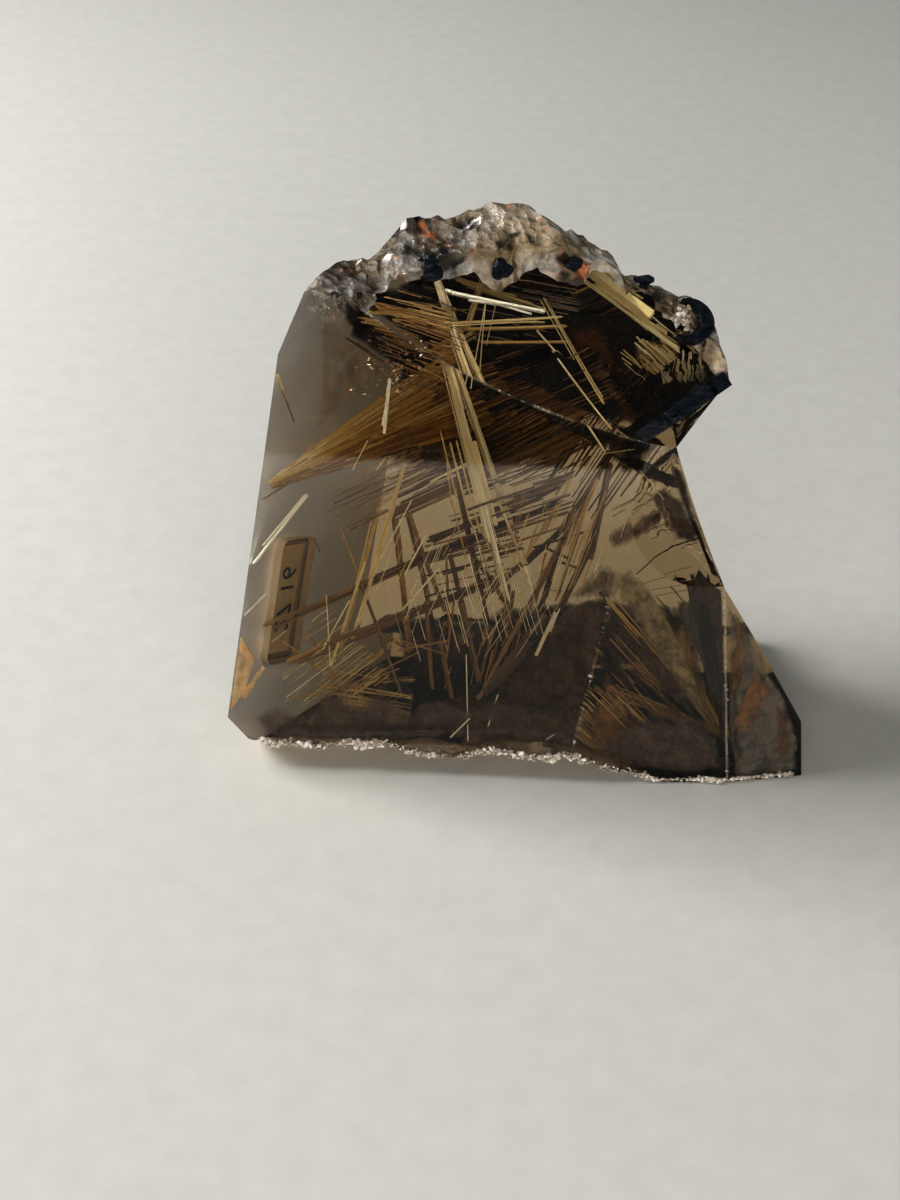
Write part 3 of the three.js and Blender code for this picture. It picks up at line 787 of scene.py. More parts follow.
about_heart = stone_finish.node("Mapping", {}, {
    "Vector": stone_finish.place, "Location": [-offset for offset in RIPPLE_HEART]})
rings = stone_finish.node("TexWave", {"wave_type": "RINGS", "rings_direction": "SPHERICAL"}, {
    "Vector": about_heart, "Scale": 110.0, "Distortion": 9.0, "Detail": 2.0, "Detail Scale": 1.2})
from_left = stone_finish.along("X")
far_right = from_left.over(12 * MM, 20 * MM)
facets = stone_finish.node("TexVoronoi", {}, {"Vector": stone_finish.place, "Scale": FACETS_A_METRE})
ripples = fracture * far_right * (rings * 0.16 + lumpy * 0.5)
roughened = crust.larger(rust).larger(base).larger(chip) * (grit * 0.7 + lumpy * 0.8)
stone_bump = stone_finish.bump(ripples + roughened + crust * facets * 1.3, 0.0009, 0.9)

haze = stone_finish.noise(0.012, 2.0, 0.5)
gloss = 0.015 + satin * (0.42 + haze * 0.12) + base * 0.35 + chip * 0.25
clear = stone_finish.principled(
    Base_Color=(1, 1, 1, 1), Roughness=gloss, IOR=QUARTZ_IOR, Transmission_Weight=1.0, Normal=stone_bump)
milk = stone_finish.node("BsdfTranslucent", {}, {"Color": (0.76, 0.74, 0.7, 1)})
clear = stone_finish.mix_shaders(satin * (0.05 + haze * 0.05), clear, milk)
print("quartz bends light by", QUARTZ_IOR)

# %% Colours of the opaque skin
stain = stone_finish.noise(0.0075, 4.0, 0.65, 0.6)
patches = stain * 0.84 + grit * 0.16
crust_tone = stone_finish.ramp(patches, [
    (0.38, (0.014, 0.009, 0.005)), (0.46, (0.05, 0.033, 0.018)), (0.53, (0.1, 0.07, 0.042)),
    (0.61, (0.17, 0.125, 0.08)), (0.72, (0.36, 0.29, 0.21))])
to_right = from_left.over(-14 * MM, -2 * MM)
crust_pale = stone_finish.ramp(patches, [
    (0.36, (0.09, 0.06, 0.033)), (0.44, (0.25, 0.18, 0.105)), (0.52, (0.43, 0.32, 0.2)),
    (0.6, (0.54, 0.425, 0.29)), (0.7, (0.68, 0.58, 0.44))])
crust_tone = stone_finish.blend(to_right * (0.35 + lumpy.over(0.35, 0.6) * 0.5), crust_tone, crust_pale)
orange_spots = stone_finish.noise(0.0045, 2.5, 0.6, 0.4).over(0.62, 0.7)
crust_colour = stone_finish.blend(orange_spots * 0.8, crust_tone, (0.55, 0.2, 0.08))
base_colour = stone_finish.ramp(lumpy * 0.6 + grit * 0.4, [
    (0.36, (0.22, 0.14, 0.075)), (0.5, (0.6, 0.44, 0.27)), (0.65, (0.88, 0.76, 0.58))])
rust_colour = stone_finish.ramp(stain * 0.5 + grit * 0.5, [
    (0.38, (0.02, 0.01, 0.004)), (0.5, (0.11, 0.05, 0.018)), (0.64, (0.3, 0.15, 0.055))])
chip_colour = stone_finish.ramp(grit, [(0.3, (0.4, 0.35, 0.29)), (0.65, (0.8, 0.77, 0.72))])
whitened = (rim_glow * flecks.over(0.36, 0.58) * 0.85).larger(chip.larger(bruise))
wet = stone_finish.noise(0.0035, 2.5, 0.55).over(0.4, 0.55)
# Painted shade: near-black spots on the crust stand for the shade in its pits.
painted_pit_shade = stone_finish.noise(0.0048, 2.5, 0.5).over(0.42, 0.34)
# Painted highlights: a pale grey band in patches along the crust's lower edge, by the scoop, stands for the
# glints of its wet, glassy rim.
painted_lip_highlights = crust * (1 - from_scoop.over(0.3 * MM, 2.2 * MM)) * lumpy.over(0.42, 0.6)
skin_colour = crust_colour
for share, tint in [
        (base, base_colour), (rust, rust_colour), (whitened, chip_colour), (painted_lip_highlights * 0.6, (0.55, 0.54, 0.52)),
        (painted_pit_shade * crust * 0.85, (0.012, 0.01, 0.009))]:
    skin_colour = stone_finish.blend(share, skin_colour, tint)
print("skin colours ready")

# %% The skin and the smoke
skin = stone_finish.principled(
    Base_Color=skin_colour, Roughness=0.5 - wet * crust * 0.3, Normal=stone_bump,
    Coat_Weight=wet * crust, Coat_Roughness=0.06, IOR=1.54)
opaque = crust + rust + base * 0.85 + chip * (0.15 + flecks.over(0.42, 0.6) * 0.5) + bruise
stone_finish.surface(stone_finish.mix_shaders(opaque.over(0.0, 1.0), clear, skin))
smoke = stone_finish.node("VolumeAbsorption", {}, {"Color": SMOKE_COLOUR, "Density": SMOKE_DENSITY})
stone_finish.tree.links.new(smoke.socket, stone_finish.output.inputs["Volume"])
dress(quartz, stone_finish, "smoky_quartz", "quartz_front_half", "quartz_back_half")
print("stone", len(quartz.data.vertices), "points")

# %% [markdown]
# ## Crumbs along the lower rim
#
# The rim of the broken base is crushed to a pale crumbly strip. Its grains are copies of the chip
# pattern, half sunk in the stone along the rim, each with its own size and whiteness. They keep
# clear of the left foot, where the rim is a smooth chamfer.

# %% Crumbs
CRUMBS = {
    "spacing": 0.06, "sizes": (0.12, 0.38), "spread": 0.55, "patches_a_metre": 320, "from_x": -35.5,
    "lowest": 0.45,
}


def crumbs_along(points, rng):
    """Crumbs along a line, more and larger ones where a slow noise is high."""
    places = []
    for point in along_line(points, CRUMBS["spacing"], rng):
        thickly = noise.noise(point * CRUMBS["patches_a_metre"])
        if thickly < rng.uniform(-0.75, -0.05) or point.x < CRUMBS["from_x"] * MM:
            continue
        size = rng.uniform(*CRUMBS["sizes"]) * (0.75 + 0.7 * thickly) * MM
        place = point + Vector((0, rng.gauss(0.1, 0.25), rng.gauss(0.2, 0.5))) * CRUMBS["spread"] * MM
        place.z = max(place.z, CRUMBS["lowest"] * MM)
        places.append(Matrix.Translation(place) @ turned(rng) @ sized(size * 1.5, size, size * 0.8))
    return places


crumb_places = crumbs_along(rim_line, rng)
crumbs = chip_pattern.copies("rim_crumbs", crumb_places, [rng.random() for _ in crumb_places])
crumb_finish = Finish("crushed_quartz")
crumb_tone = crumb_finish.attribute("tone")
crumb_grain = crumb_finish.noise(0.0005, 4.0, 0.6)
crumb_finish.surface(crumb_finish.principled(
    Base_Color=crumb_finish.ramp(crumb_tone * 0.7 + crumb_grain * 0.3, [
        (0.1, (0.2, 0.155, 0.115)), (0.5, (0.42, 0.37, 0.31)), (0.85, (0.74, 0.71, 0.67))]),
    Roughness=0.4 + crumb_grain * 0.3, Normal=crumb_finish.bump(crumb_grain, 0.0002, 0.5)))
dress(crumbs, crumb_finish, "smoky_quartz")
print("crumbs", len(crumb_places))

# %% [markdown]
# ## Rutile needles
#
# Rutile grows as long thin prisms, alone or side by side in sheaves. One needle is modelled, and
# each solid needle of the frame becomes one main prism with finer ones along it. The tone of a
# needle runs from nearly black through red-brown and gold to pale straw.

# %% One needle, clipped by the stone
POINTED_BY = 0.96
rod = added(
    "rod", bpy.ops.mesh.primitive_cylinder_add, vertices=6, radius=0.5, depth=1, end_fill_type="TRIFAN")
for vertex in rod.data.vertices:
    if math.hypot(vertex.co.x, vertex.co.y) > 0.1:
        vertex.co.z *= POINTED_BY
needle_pattern = Pattern(rod)
skin_of_stone = BVHTree.FromPolygons(
    [vertex.co for vertex in quartz.data.vertices], [tuple(face.vertices) for face in quartz.data.polygons])


def inside(point, margin=0.12 * MM):
    near, normal, _, distance = skin_of_stone.find_nearest(point)
    return (point - near).dot(normal) < 0 and distance > margin


def clipped(start, end, steps=20):
    """The longest run from start to end that lies in the stone, or None."""
    best, run = [], []
    for step in range(steps + 1):
        if inside(start.lerp(end, step / steps)):
            run.append(step)
            if len(run) > len(best):
                best = list(run)
        else:
            run = []
    if len(best) < 3:
        return None
    return start.lerp(end, best[0] / steps), start.lerp(end, best[-1] / steps)


def square_to(axis):
    """The directions square to an axis: along the front face and as nearly inward as can be."""
    flat = (inward - axis * inward.dot(axis)).normalized()
    return axis.cross(flat), flat


def needle_place(start, end, width, thickness):
    """The matrix that stretches the pattern from start to end, in metres."""
    along = end - start
    wide, flat = square_to(along.normalized())
    turn = Matrix((wide * width, flat * thickness, along)).transposed()
    return Matrix.Translation((start + end) / 2) @ turn.to_4x4()


print("needle", len(needle_pattern.faces), "faces")


# %% Bundles and mats of needles
def bundle(stem, count, tone, rng, main=0.6, fine=0.2):
    """One main prism and finer ones in the room of a stem: ends, width, thickness and tone."""
    start, end, width, thickness = stem
    a, b = in_crystal(start), in_crystal(end)
    wide, flat = square_to((b - a).normalized())
    strands = [(a, b, width * main * MM, width * main * 0.5 * MM, tone)]
    for _ in range(count):
        shift = wide * rng.uniform(-0.5, 0.5) * width * MM + flat * rng.uniform(-0.5, 0.5) * thickness * MM
        lean = wide * rng.uniform(-0.12, 0.12) * width * MM
        from_t = rng.uniform(0, 0.5) * rng.random()
        to_t = 1 - rng.uniform(0, 0.5) * rng.random()
        size = width * fine * rng.uniform(0.3, 1) * MM
        strands.append((
            a.lerp(b, from_t) + shift - lean, a.lerp(b, to_t) + shift + lean, size, size * 0.6,
            tone + rng.gauss(0, 0.09)))
    return strands


def fibres(centre, direction, length, width, depth, count, size, tone, rng):
    """Nearly parallel fibres around a centre, all in mm."""
    middle, along = Vector(centre), Vector(direction).normalized()
    side = along.cross(Vector((0, 0, 1))).normalized()
    strands = []
    for _ in range(count):
        from_t = rng.random() ** 0.8 * 0.8
        to_t = min(1.0, from_t + rng.uniform(0.2, 0.75))
        where, deep = rng.gauss(0, 0.42) * width, rng.uniform(-0.5, 0.5) * depth
        ends = [
            middle + along * (t - 0.5) * length + side * (where + rng.gauss(0, 0.1)) + Vector((0, 0, deep))
            for t in (from_t, to_t)]
        thick = size * rng.uniform(0.4, 1.3) * MM
        strands.append((*map(in_crystal, ends), thick, thick * 0.6, tone + rng.gauss(0, 0.1)))
    return strands


print("bundles and mats ready")

# %% Where the sheaves run
FAN_OVERLAP = 0.09


def fan(hub, tips, width, thickness):
    """Needles that spread from one hub."""
    hub = Vector(hub)
    return [(hub - FAN_OVERLAP * (Vector(tip) - hub), tip, width, thickness) for tip in tips]


# Each sheaf: its stems, finer needles a stem, tone (or one a stem), and the widths of its prisms.
SHEAVES = {
    "rutile_top_spray": (fan(
        (-14.2, 67, 12.5),
        [(-7.5, 46, 7.5), (-4.8, 33, 5.5), (-3.2, 30, 4.5), (-1.8, 24.5, 5.5), (1.2, 26, 7)],
        1, 0.8), 10, 1.0, 0.48, 0.18),
    "rutile_lattice": ([
        ((-35, 19, 5), (-3.6, 33.5, 15), 1.1, 1),
        ((-32, 14, 6), (-0.7, 27.5, 14), 1.1, 1),
        ((-13, 31, 13), (6.2, 42, 13.4), 1.1, 1),
        ((-18.6, 35, 12.3), (4, 46.5, 13), 2.6, 1),
        ((-18.4, 36.5, 12.4), (-15.5, 16, 9.8), 1.1, 1),
        ((-16.6, 36.5, 12.5), (-11.5, 16.5, 10.6), 1.1, 1),
        ((-9.6, 41, 12.6), (-3, 11.5, 13.2), 1.1, 1),
    ], 5, 0.3, 0.5, 0.24),
    "rutile_slanting_needles": ([
        ((9.8, 42.5, 12.6), (-5.6, 10.5, 5.5), 1, 0.9),
        ((3.2, 22.5, 8.6), (-6, 10, 5.4), 1.3, 0.9),
        ((8.8, 41.5, 12.2), (4.2, 24.5, 8), 0.9, 0.9),
    ], 6, 0.34, 0.48, 0.25),
    "rutile_nest": (fan(
        (-25, 9.5, 12.2),
        [(-33, 17.5, 6), (-30, 19, 7.6), (-17, 18.5, 6.5), (-32.5, 8.5, 6), (-20, 8.5, 5),
         (-14.5, 12.5, 6.5)],
        1, 0.8), 5, 0.7, 0.3, 0.15),
    "rutile_fan": (fan(
        (28, 4.8, 11.8),
        [(11.2, 12.8, 7), (10.8, 26, 6.5), (15.8, 27, 7), (22, 28.5, 8), (24.2, 29, 6.5), (18, 9, 7)],
        1.3, 0.9), 12, [0.5, 0.6, 0.62, 0.16, 0.12, 0.5], 0.25, 0.25),
    "rutile_top_blade": ([
        ((6.2, 67.5, 16.5), (20.2, 59, 11.6), 4, 1),
        ((18.4, 60.6, 12.6), (22, 56.6, 14.5), 1.2, 0.9),
        ((18.4, 60.6, 12.6), (24, 57.8, 14.5), 1.2, 0.9),
    ], 26, 0.74, 0.5, 0.12),
    "rutile_top_needles": ([
        ((-11.5, 65.3, 13.2), (1.3, 63, 10.4), 1.2, 0.8),
        ((-6.9, 67.3, 13.5), (-9.3, 59.6, 9), 1, 0.8),
        ((-13.5, 60.2, 8.5), (3.4, 61.4, 12.4), 1.1, 0.8),
        ((0.6, 63.8, 13.2), (9, 50, 8), 1, 0.8),
    ], 4, 0.72, 0.3, 0.2),
    "rutile_end_blades": (fan(
        (32.6, 6, 11.8),
        [(31.2, 17, 6), (33.6, 13, 5.8), (35.6, 9.8, 5.8)],
        1.6, 0.9), 6, 0.5, 0.6, 0.25),
}
print("sheaves", len(SHEAVES))

# %% Rutile finish
rutile_finish = Finish("rutile")
rutile_tone = rutile_finish.attribute("tone")
streaks = rutile_finish.noise(0.0006, 4.0, 0.6)
rutile_colour = rutile_finish.ramp(rutile_tone + (streaks - 0.5) * 0.22, [
    (0.0, (0.012, 0.007, 0.004)), (0.15, (0.075, 0.04, 0.014)), (0.3, (0.22, 0.11, 0.03)),
    (0.45, (0.42, 0.24, 0.06)), (0.6, (0.64, 0.44, 0.14)), (0.78, (0.84, 0.7, 0.36)),
    (1.0, (0.97, 0.93, 0.76))])
rutile_finish.surface(rutile_finish.principled(
    Base_Color=rutile_colour, Roughness=0.3 + streaks * 0.2, Metallic=rutile_tone * 0.3,
    Normal=rutile_finish.bump(streaks, 0.0001, 0.4), IOR=1.9))


def grow(name, strands, *nodes):
    places, tones = [], []
    for start, end, width, thickness, tone in strands:
        kept = clipped(start, end)
        if kept:
            places.append(needle_place(*kept, width, thickness))
            tones.append(min(max(tone, 0), 1))
    dress(needle_pattern.copies(name, places, tones), rutile_finish, "rutile", *nodes)
    print(name, len(places), "of", len(strands), "needles")


print("the finish runs from black to straw")

# %% Sheaves of the frame
rng = random.Random(21)
for node, (stems, count, tone, main, fine) in SHEAVES.items():
    tones = tone if isinstance(tone, list) else [tone] * len(stems)
    strands = [s for stem, t in zip(stems, tones) for s in bundle(stem, count, t, rng, main, fine)]
    grow(node + "_strands", strands, node)

# %% [markdown]
# ## Hair-fine rutile
#
# The golden sheaf is a brush of several hundred parallel hairs that spreads from a red-brown tip.
# Mats of finer fibres lie behind the ridge, under the crust and near the foot. Single needles,
# each given by its two ends, cross in front of them.

# %% The golden sheaf
SHEAF_TIP, SHEAF_END = Vector((-34.2, 41.2, 0.7)), Vector((-7.5, 54, 13.5))
SHEAF_SIDE = Vector((-0.43, 0.9, 0))
SHEAF_HAIRS = 560
strands = []
for _ in range(SHEAF_HAIRS):
    across_it = rng.uniform(-1, 1)
    from_t = 0.01 + 0.5 * rng.random() ** 1.5 * abs(across_it - 0.1) ** 0.6
    to_t = min(1.0, from_t + rng.uniform(0.3, 0.8))
    ends = []
    for t in (from_t, to_t):
        half_width = 0.5 + 5.6 * t
        deep = 1.2 * (rng.random() - 0.3) * min(1, 0.15 + 2 * t)
        ends.append(
            SHEAF_TIP.lerp(SHEAF_END, t) + SHEAF_SIDE * (across_it * half_width - 0.6) + Vector((0, 0, deep)))
    thick = rng.uniform(0.1, 0.32) * MM
    low_edge = 0.22 * max(0, -across_it) + 0.5 * max(0, 0.3 - from_t) - 0.1 * max(0, across_it)
    strands.append((*map(in_crystal, ends), thick, thick * 0.7, rng.gauss(0.64, 0.11) - low_edge))
grow("rutile_golden_sheaf_hairs", strands, "rutile_golden_sheaf")

# %% Mats of fibres
MATS = [
    # centre, direction, length, width, depth, count, size, tone
    ((-3, 49, 17), (0.9, 0.42, 0.1), 22, 8, 6, 260, 0.26, 0.24),
    ((2, 48, 12), (0.84, 0.54, 0), 18, 6, 5, 120, 0.2, 0.36),
    ((8, 44, 16), (0.5, 0.86, 0), 16, 9, 5, 90, 0.24, 0.2),
    ((-12, 41, 14), (0.9, 0.43, 0), 14, 2.4, 2, 50, 0.26, 0.26),
    ((-6, 60, 15), (0.97, -0.16, 0.12), 22, 7, 3, 100, 0.2, 0.24),
    ((2, 55, 18), (0.86, 0.5, 0), 22, 8, 4, 120, 0.3, 0.18),
    ((14, 50, 16), (0.6, 0.8, 0), 10, 8, 5, 80, 0.25, 0.28),
    ((20.4, 55.6, 12.6), (0.04, -1, 0.05), 6, 4, 1.6, 34, 0.3, 0.86),
    ((15, 57, 12.8), (0.7, -0.7, 0.1), 6, 4, 2, 40, 0.28, 0.74),
    ((-20, 40, 8), (0.88, 0.47, 0.1), 14, 5, 3, 60, 0.14, 0.42),
    ((17, 16, 12), (-0.66, 0.75, 0), 12, 8, 5, 80, 0.24, 0.46),
    ((16.5, 35, 13), (0.85, 0.5, 0), 8, 5, 2, 34, 0.2, 0.4),
    ((-26, 11, 8), (0.75, 0.66, 0), 14, 9, 5, 90, 0.14, 0.74),
    ((-22, 8.5, 6), (0.98, -0.12, 0), 14, 3, 4, 70, 0.15, 0.7),
    ((-2, 14, 9), (0.2, 0.98, 0), 12, 10, 4, 60, 0.25, 0.36),
    ((10, 6, 8), (0.75, -0.66, 0), 14, 6, 4, 150, 0.18, 0.54),
    ((14, 9, 6), (0.7, -0.71, 0), 13, 4, 3, 70, 0.16, 0.5),
    ((-4, 37, 8), (0.93, 0.36, 0), 20, 7, 4, 40, 0.28, 0.22),
    ((-8, 30, 8), (0.95, 0.3, 0), 16, 5, 3, 20, 0.28, 0.24),
    ((2, 33, 7), (0.25, 0.97, 0), 13, 9, 3, 30, 0.13, 0.7),
    ((-17, 62, 8), (0.97, -0.2, 0.1), 12, 3, 2.4, 46, 0.24, 0.56),
    ((-7, 27, 6), (0.28, -0.96, 0), 18, 9, 4, 30, 0.11, 0.95),
    ((-2, 22, 6), (0.5, 0.86, 0), 14, 10, 4, 24, 0.11, 0.9),
    ((-14, 26, 6), (0.35, 0.93, 0), 14, 8, 4, 20, 0.11, 0.85),
    ((6, 30, 8), (0.3, 0.95, 0), 14, 6, 3, 24, 0.16, 0.7),
    ((-16, 58, 9), (0.93, -0.36, 0.2), 12, 5, 3, 60, 0.18, 0.38),
]
strands = [strand for mat in MATS for strand in fibres(*mat, rng)]
grow("rutile_mats", strands)

# %% Single needles: two ends across, up and deep, then width and tone
# Painted highlight and shade: thin dark and pale rods along a crack stand for the light and shade the crack
# catches.
FRACTURE_GLINT_AND_SHADE_LINES = [
    (14.7, 30, 3.3, 16.6, 31.9, 3.7, 0.2, 0.05),
    (16.6, 31.9, 3.7, 19.3, 33.4, 4.7, 0.22, 0.05),
    (19.3, 33.4, 4.7, 22.8, 35, 3.6, 0.25, 0.08),
    (22.8, 35, 3.6, 24.6, 32.1, 2.4, 0.2, 0.95),
    (21.3, 33.4, 5.1, 23.8, 32, 5.1, 0.14, 0.9),
    (21.9, 32.5, 5, 24.2, 29.9, 4.5, 0.12, 0.95),
    (16.6, 27.8, 3.4, 23.2, 29, 4.2, 0.1, 0.35),
    (16.2, 26.7, 3.4, 22.7, 28.2, 3.8, 0.1, 0.35),
    (15.3, 28.6, 3.3, 21.7, 30.6, 4.5, 0.1, 0.3),
    (17.2, 40, 4.6, 19.5, 34.2, 4.9, 0.12, 0.35),
    (14.4, 44.4, 3.1, 17.5, 40, 4.7, 0.12, 0.85),
    (9.2, 46.3, 3.1, 14.3, 47.3, 3.1, 0.12, 0.7),
]
NEEDLES_PALE = [
    (-6.8, 63.6, 10.4, -8.7, 53.5, 8.4, 0.2, 0.93), (-6.8, 63.6, 10.4, -7.9, 53.3, 8.5, 0.18, 0.93),
    (-5.5, 63.1, 10.6, -7.1, 56.7, 10.5, 0.15, 0.9), (-11.9, 65.7, 7.3, -5.2, 63.7, 9, 0.61, 1),
    (-11.1, 65.4, 7.4, 1.3, 62.6, 10.5, 0.68, 1), (-8.8, 64.4, 7.7, 0.5, 62.8, 10.6, 0.46, 1),
    (-7, 64.3, 8.6, -0.5, 62.3, 10, 0.38, 1), (1.9, 57, 10.4, 9.9, 45.7, 8.1, 0.33, 0.9),
    (2.5, 57, 10.6, 8.4, 49.9, 11.8, 0.3, 0.88), (-0.2, 59.5, 11.3, 2.5, 56.7, 10.4, 0.33, 0.85),
    (-15.1, 57.8, 11.7, 3.8, 59.3, 14.3, 0.61, 0.68), (-8.3, 56.2, 12.7, 5.6, 56.9, 14.6, 0.53, 0.66),
    (-12.2, 59.3, 11.7, 0.8, 59.8, 13.9, 0.3, 0.7), (-22, 62.3, 4.6, -12.2, 59.9, 12, 0.3, 0.66),
    (-21.5, 62.5, 4.4, -9.5, 61, 13.1, 0.3, 0.62), (-19.1, 61.1, 6.2, -9.5, 58.6, 12.1, 0.24, 0.6),
    (-18.8, 63.5, 7.4, -12.2, 61.5, 12.6, 0.21, 0.66), (-18.1, 55.4, 3, -18.8, 47.9, 3, 0.49, 0.95),
    (-18.1, 54.3, 3.2, -19.1, 49, 3.2, 0.24, 1), (-32.2, 55.8, 0.3, -31.4, 52.2, 1.4, 0.3, 0.66),
    (-31.8, 53.6, 0.9, -30.4, 49.3, 2, 0.24, 0.3), (-28.8, 39.4, 3, -36.4, 29.3, 0.2, 0.49, 1),
    (-29.1, 39.4, 2.9, -34.8, 32.3, 0.8, 0.3, 0.95), (-34.5, 25.4, 1.3, -37.7, 22.1, 0.1, 0.24, 0.98),
    (-16.4, 42.7, 7, -20.8, 27.2, 6, 0.61, 0.72), (-17.4, 38.2, 7, -23.3, 18.1, 6, 0.55, 0.74),
    (-19.1, 39.3, 8, -23.7, 20.2, 8, 0.33, 0.66), (-19.7, 37.8, 8.5, -24.5, 17.5, 8, 0.27, 0.66),
    (-20.7, 35.2, 7.5, -25, 16.2, 7, 0.24, 0.7), (-18.1, 35.6, 6, -22.4, 20.2, 6, 0.3, 0.76),
    (-21.4, 29.8, 6, -26.3, 13.7, 6, 0.46, 0.76), (-20.1, 42.2, 7, -17.3, 46.3, 8, 0.24, 0.8),
    (-23.1, 42.5, 5, -21.1, 46.5, 6, 0.21, 0.8), (-26.6, 25.1, 4, -26.1, 14.6, 4, 0.18, 0.8),
    (-23.4, 24.4, 4, -27.2, 16.9, 4, 0.21, 0.82), (-15.2, 38.7, 5, -19.4, 30.1, 5, 0.21, 0.86),
    (-13.2, 34.1, 4.5, -16.1, 28.1, 4.5, 0.23, 0.9), (-11.6, 29.1, 4.5, -16.3, 23.2, 4.5, 0.26, 0.92),
    (-12.1, 28.5, 4.6, -15.3, 24.3, 4.6, 0.15, 0.9), (-7.2, 47, 6, -4, 35.2, 6.5, 0.68, 0.86),
    (-7.7, 47, 6, -4.9, 38.8, 6.5, 0.46, 0.84), (-4.1, 39.4, 6.5, -0.1, 29.9, 7, 0.4, 0.8),
    (-10.4, 46.5, 7, -7.5, 35.5, 7, 0.33, 0.7), (-9.6, 46.8, 7, -6.1, 33.9, 7, 0.27, 0.72),
    (-8.8, 47.4, 6.6, -5.3, 33.1, 7, 0.26, 0.74), (-6.5, 35.6, 7, -3.6, 29.2, 7, 0.27, 0.66),
    (-7.5, 35.8, 7, -4.7, 28.3, 7, 0.23, 0.62), (-11.7, 48, 7, -8.6, 35.8, 7, 0.24, 0.66),
    (-10.9, 44.7, 7.4, -10, 37.6, 7.4, 0.2, 0.66), (-5.6, 34.5, 7, -1.7, 26.7, 7, 0.2, 0.7),
    (-3.5, 33.2, 7, 0.5, 28, 7, 0.24, 0.76), (-10, 38.5, 7, -7.9, 30.1, 7.2, 0.2, 0.6),
    (-5.2, 35.4, 8, -6.3, 28, 8, 0.2, 0.4), (-8.6, 36.4, 8, -11.2, 30.3, 8, 0.2, 0.5),
    (-11.1, 41.7, 7.5, -7.5, 43.7, 8, 0.27, 0.85), (-13, 40.8, 7.5, -7, 44.2, 8, 0.24, 0.85),
    (-14.3, 39.6, 7.5, -10.4, 42.2, 8, 0.2, 0.8), (9.2, 42.1, 8, 5.4, 32.5, 8, 0.55, 0.62),
    (4.3, 38.9, 8, -0.2, 30.3, 8, 0.46, 0.64), (5.7, 41.9, 8.5, 2.6, 34.5, 8.5, 0.27, 0.6),
    (4.4, 23.5, 6, 1.9, 16.9, 6, 0.55, 0.95), (4.9, 24.1, 6, 3.7, 20.5, 6, 0.24, 1),
    (8.2, 39.1, 8, 4.1, 24.7, 8, 0.3, 0.66), (10.3, 40.5, 8, 7.3, 30.6, 8, 0.36, 0.5),
    (-7.5, 17.3, 4, -6.9, 4.7, 2, 0.18, 0.88), (-3, 11.8, 3, -4.2, 7.2, 2, 0.21, 0.9),
    (-6.7, 8.3, 2, -9.4, 5.3, 1.5, 0.21, 0.92), (30.1, 2.9, 3.4, 37.6, 6.5, 6, 0.18, 0.9),
    (34.2, 1.2, 3, 35.5, 4.5, 6.5, 0.18, 0.85), (33.2, 9.8, 11.5, 32.5, 6, 7.5, 0.49, 0.8),
    (3.8, 5.5, 2.3, 6.7, 7.5, 3.2, 0.18, 0.85),
]
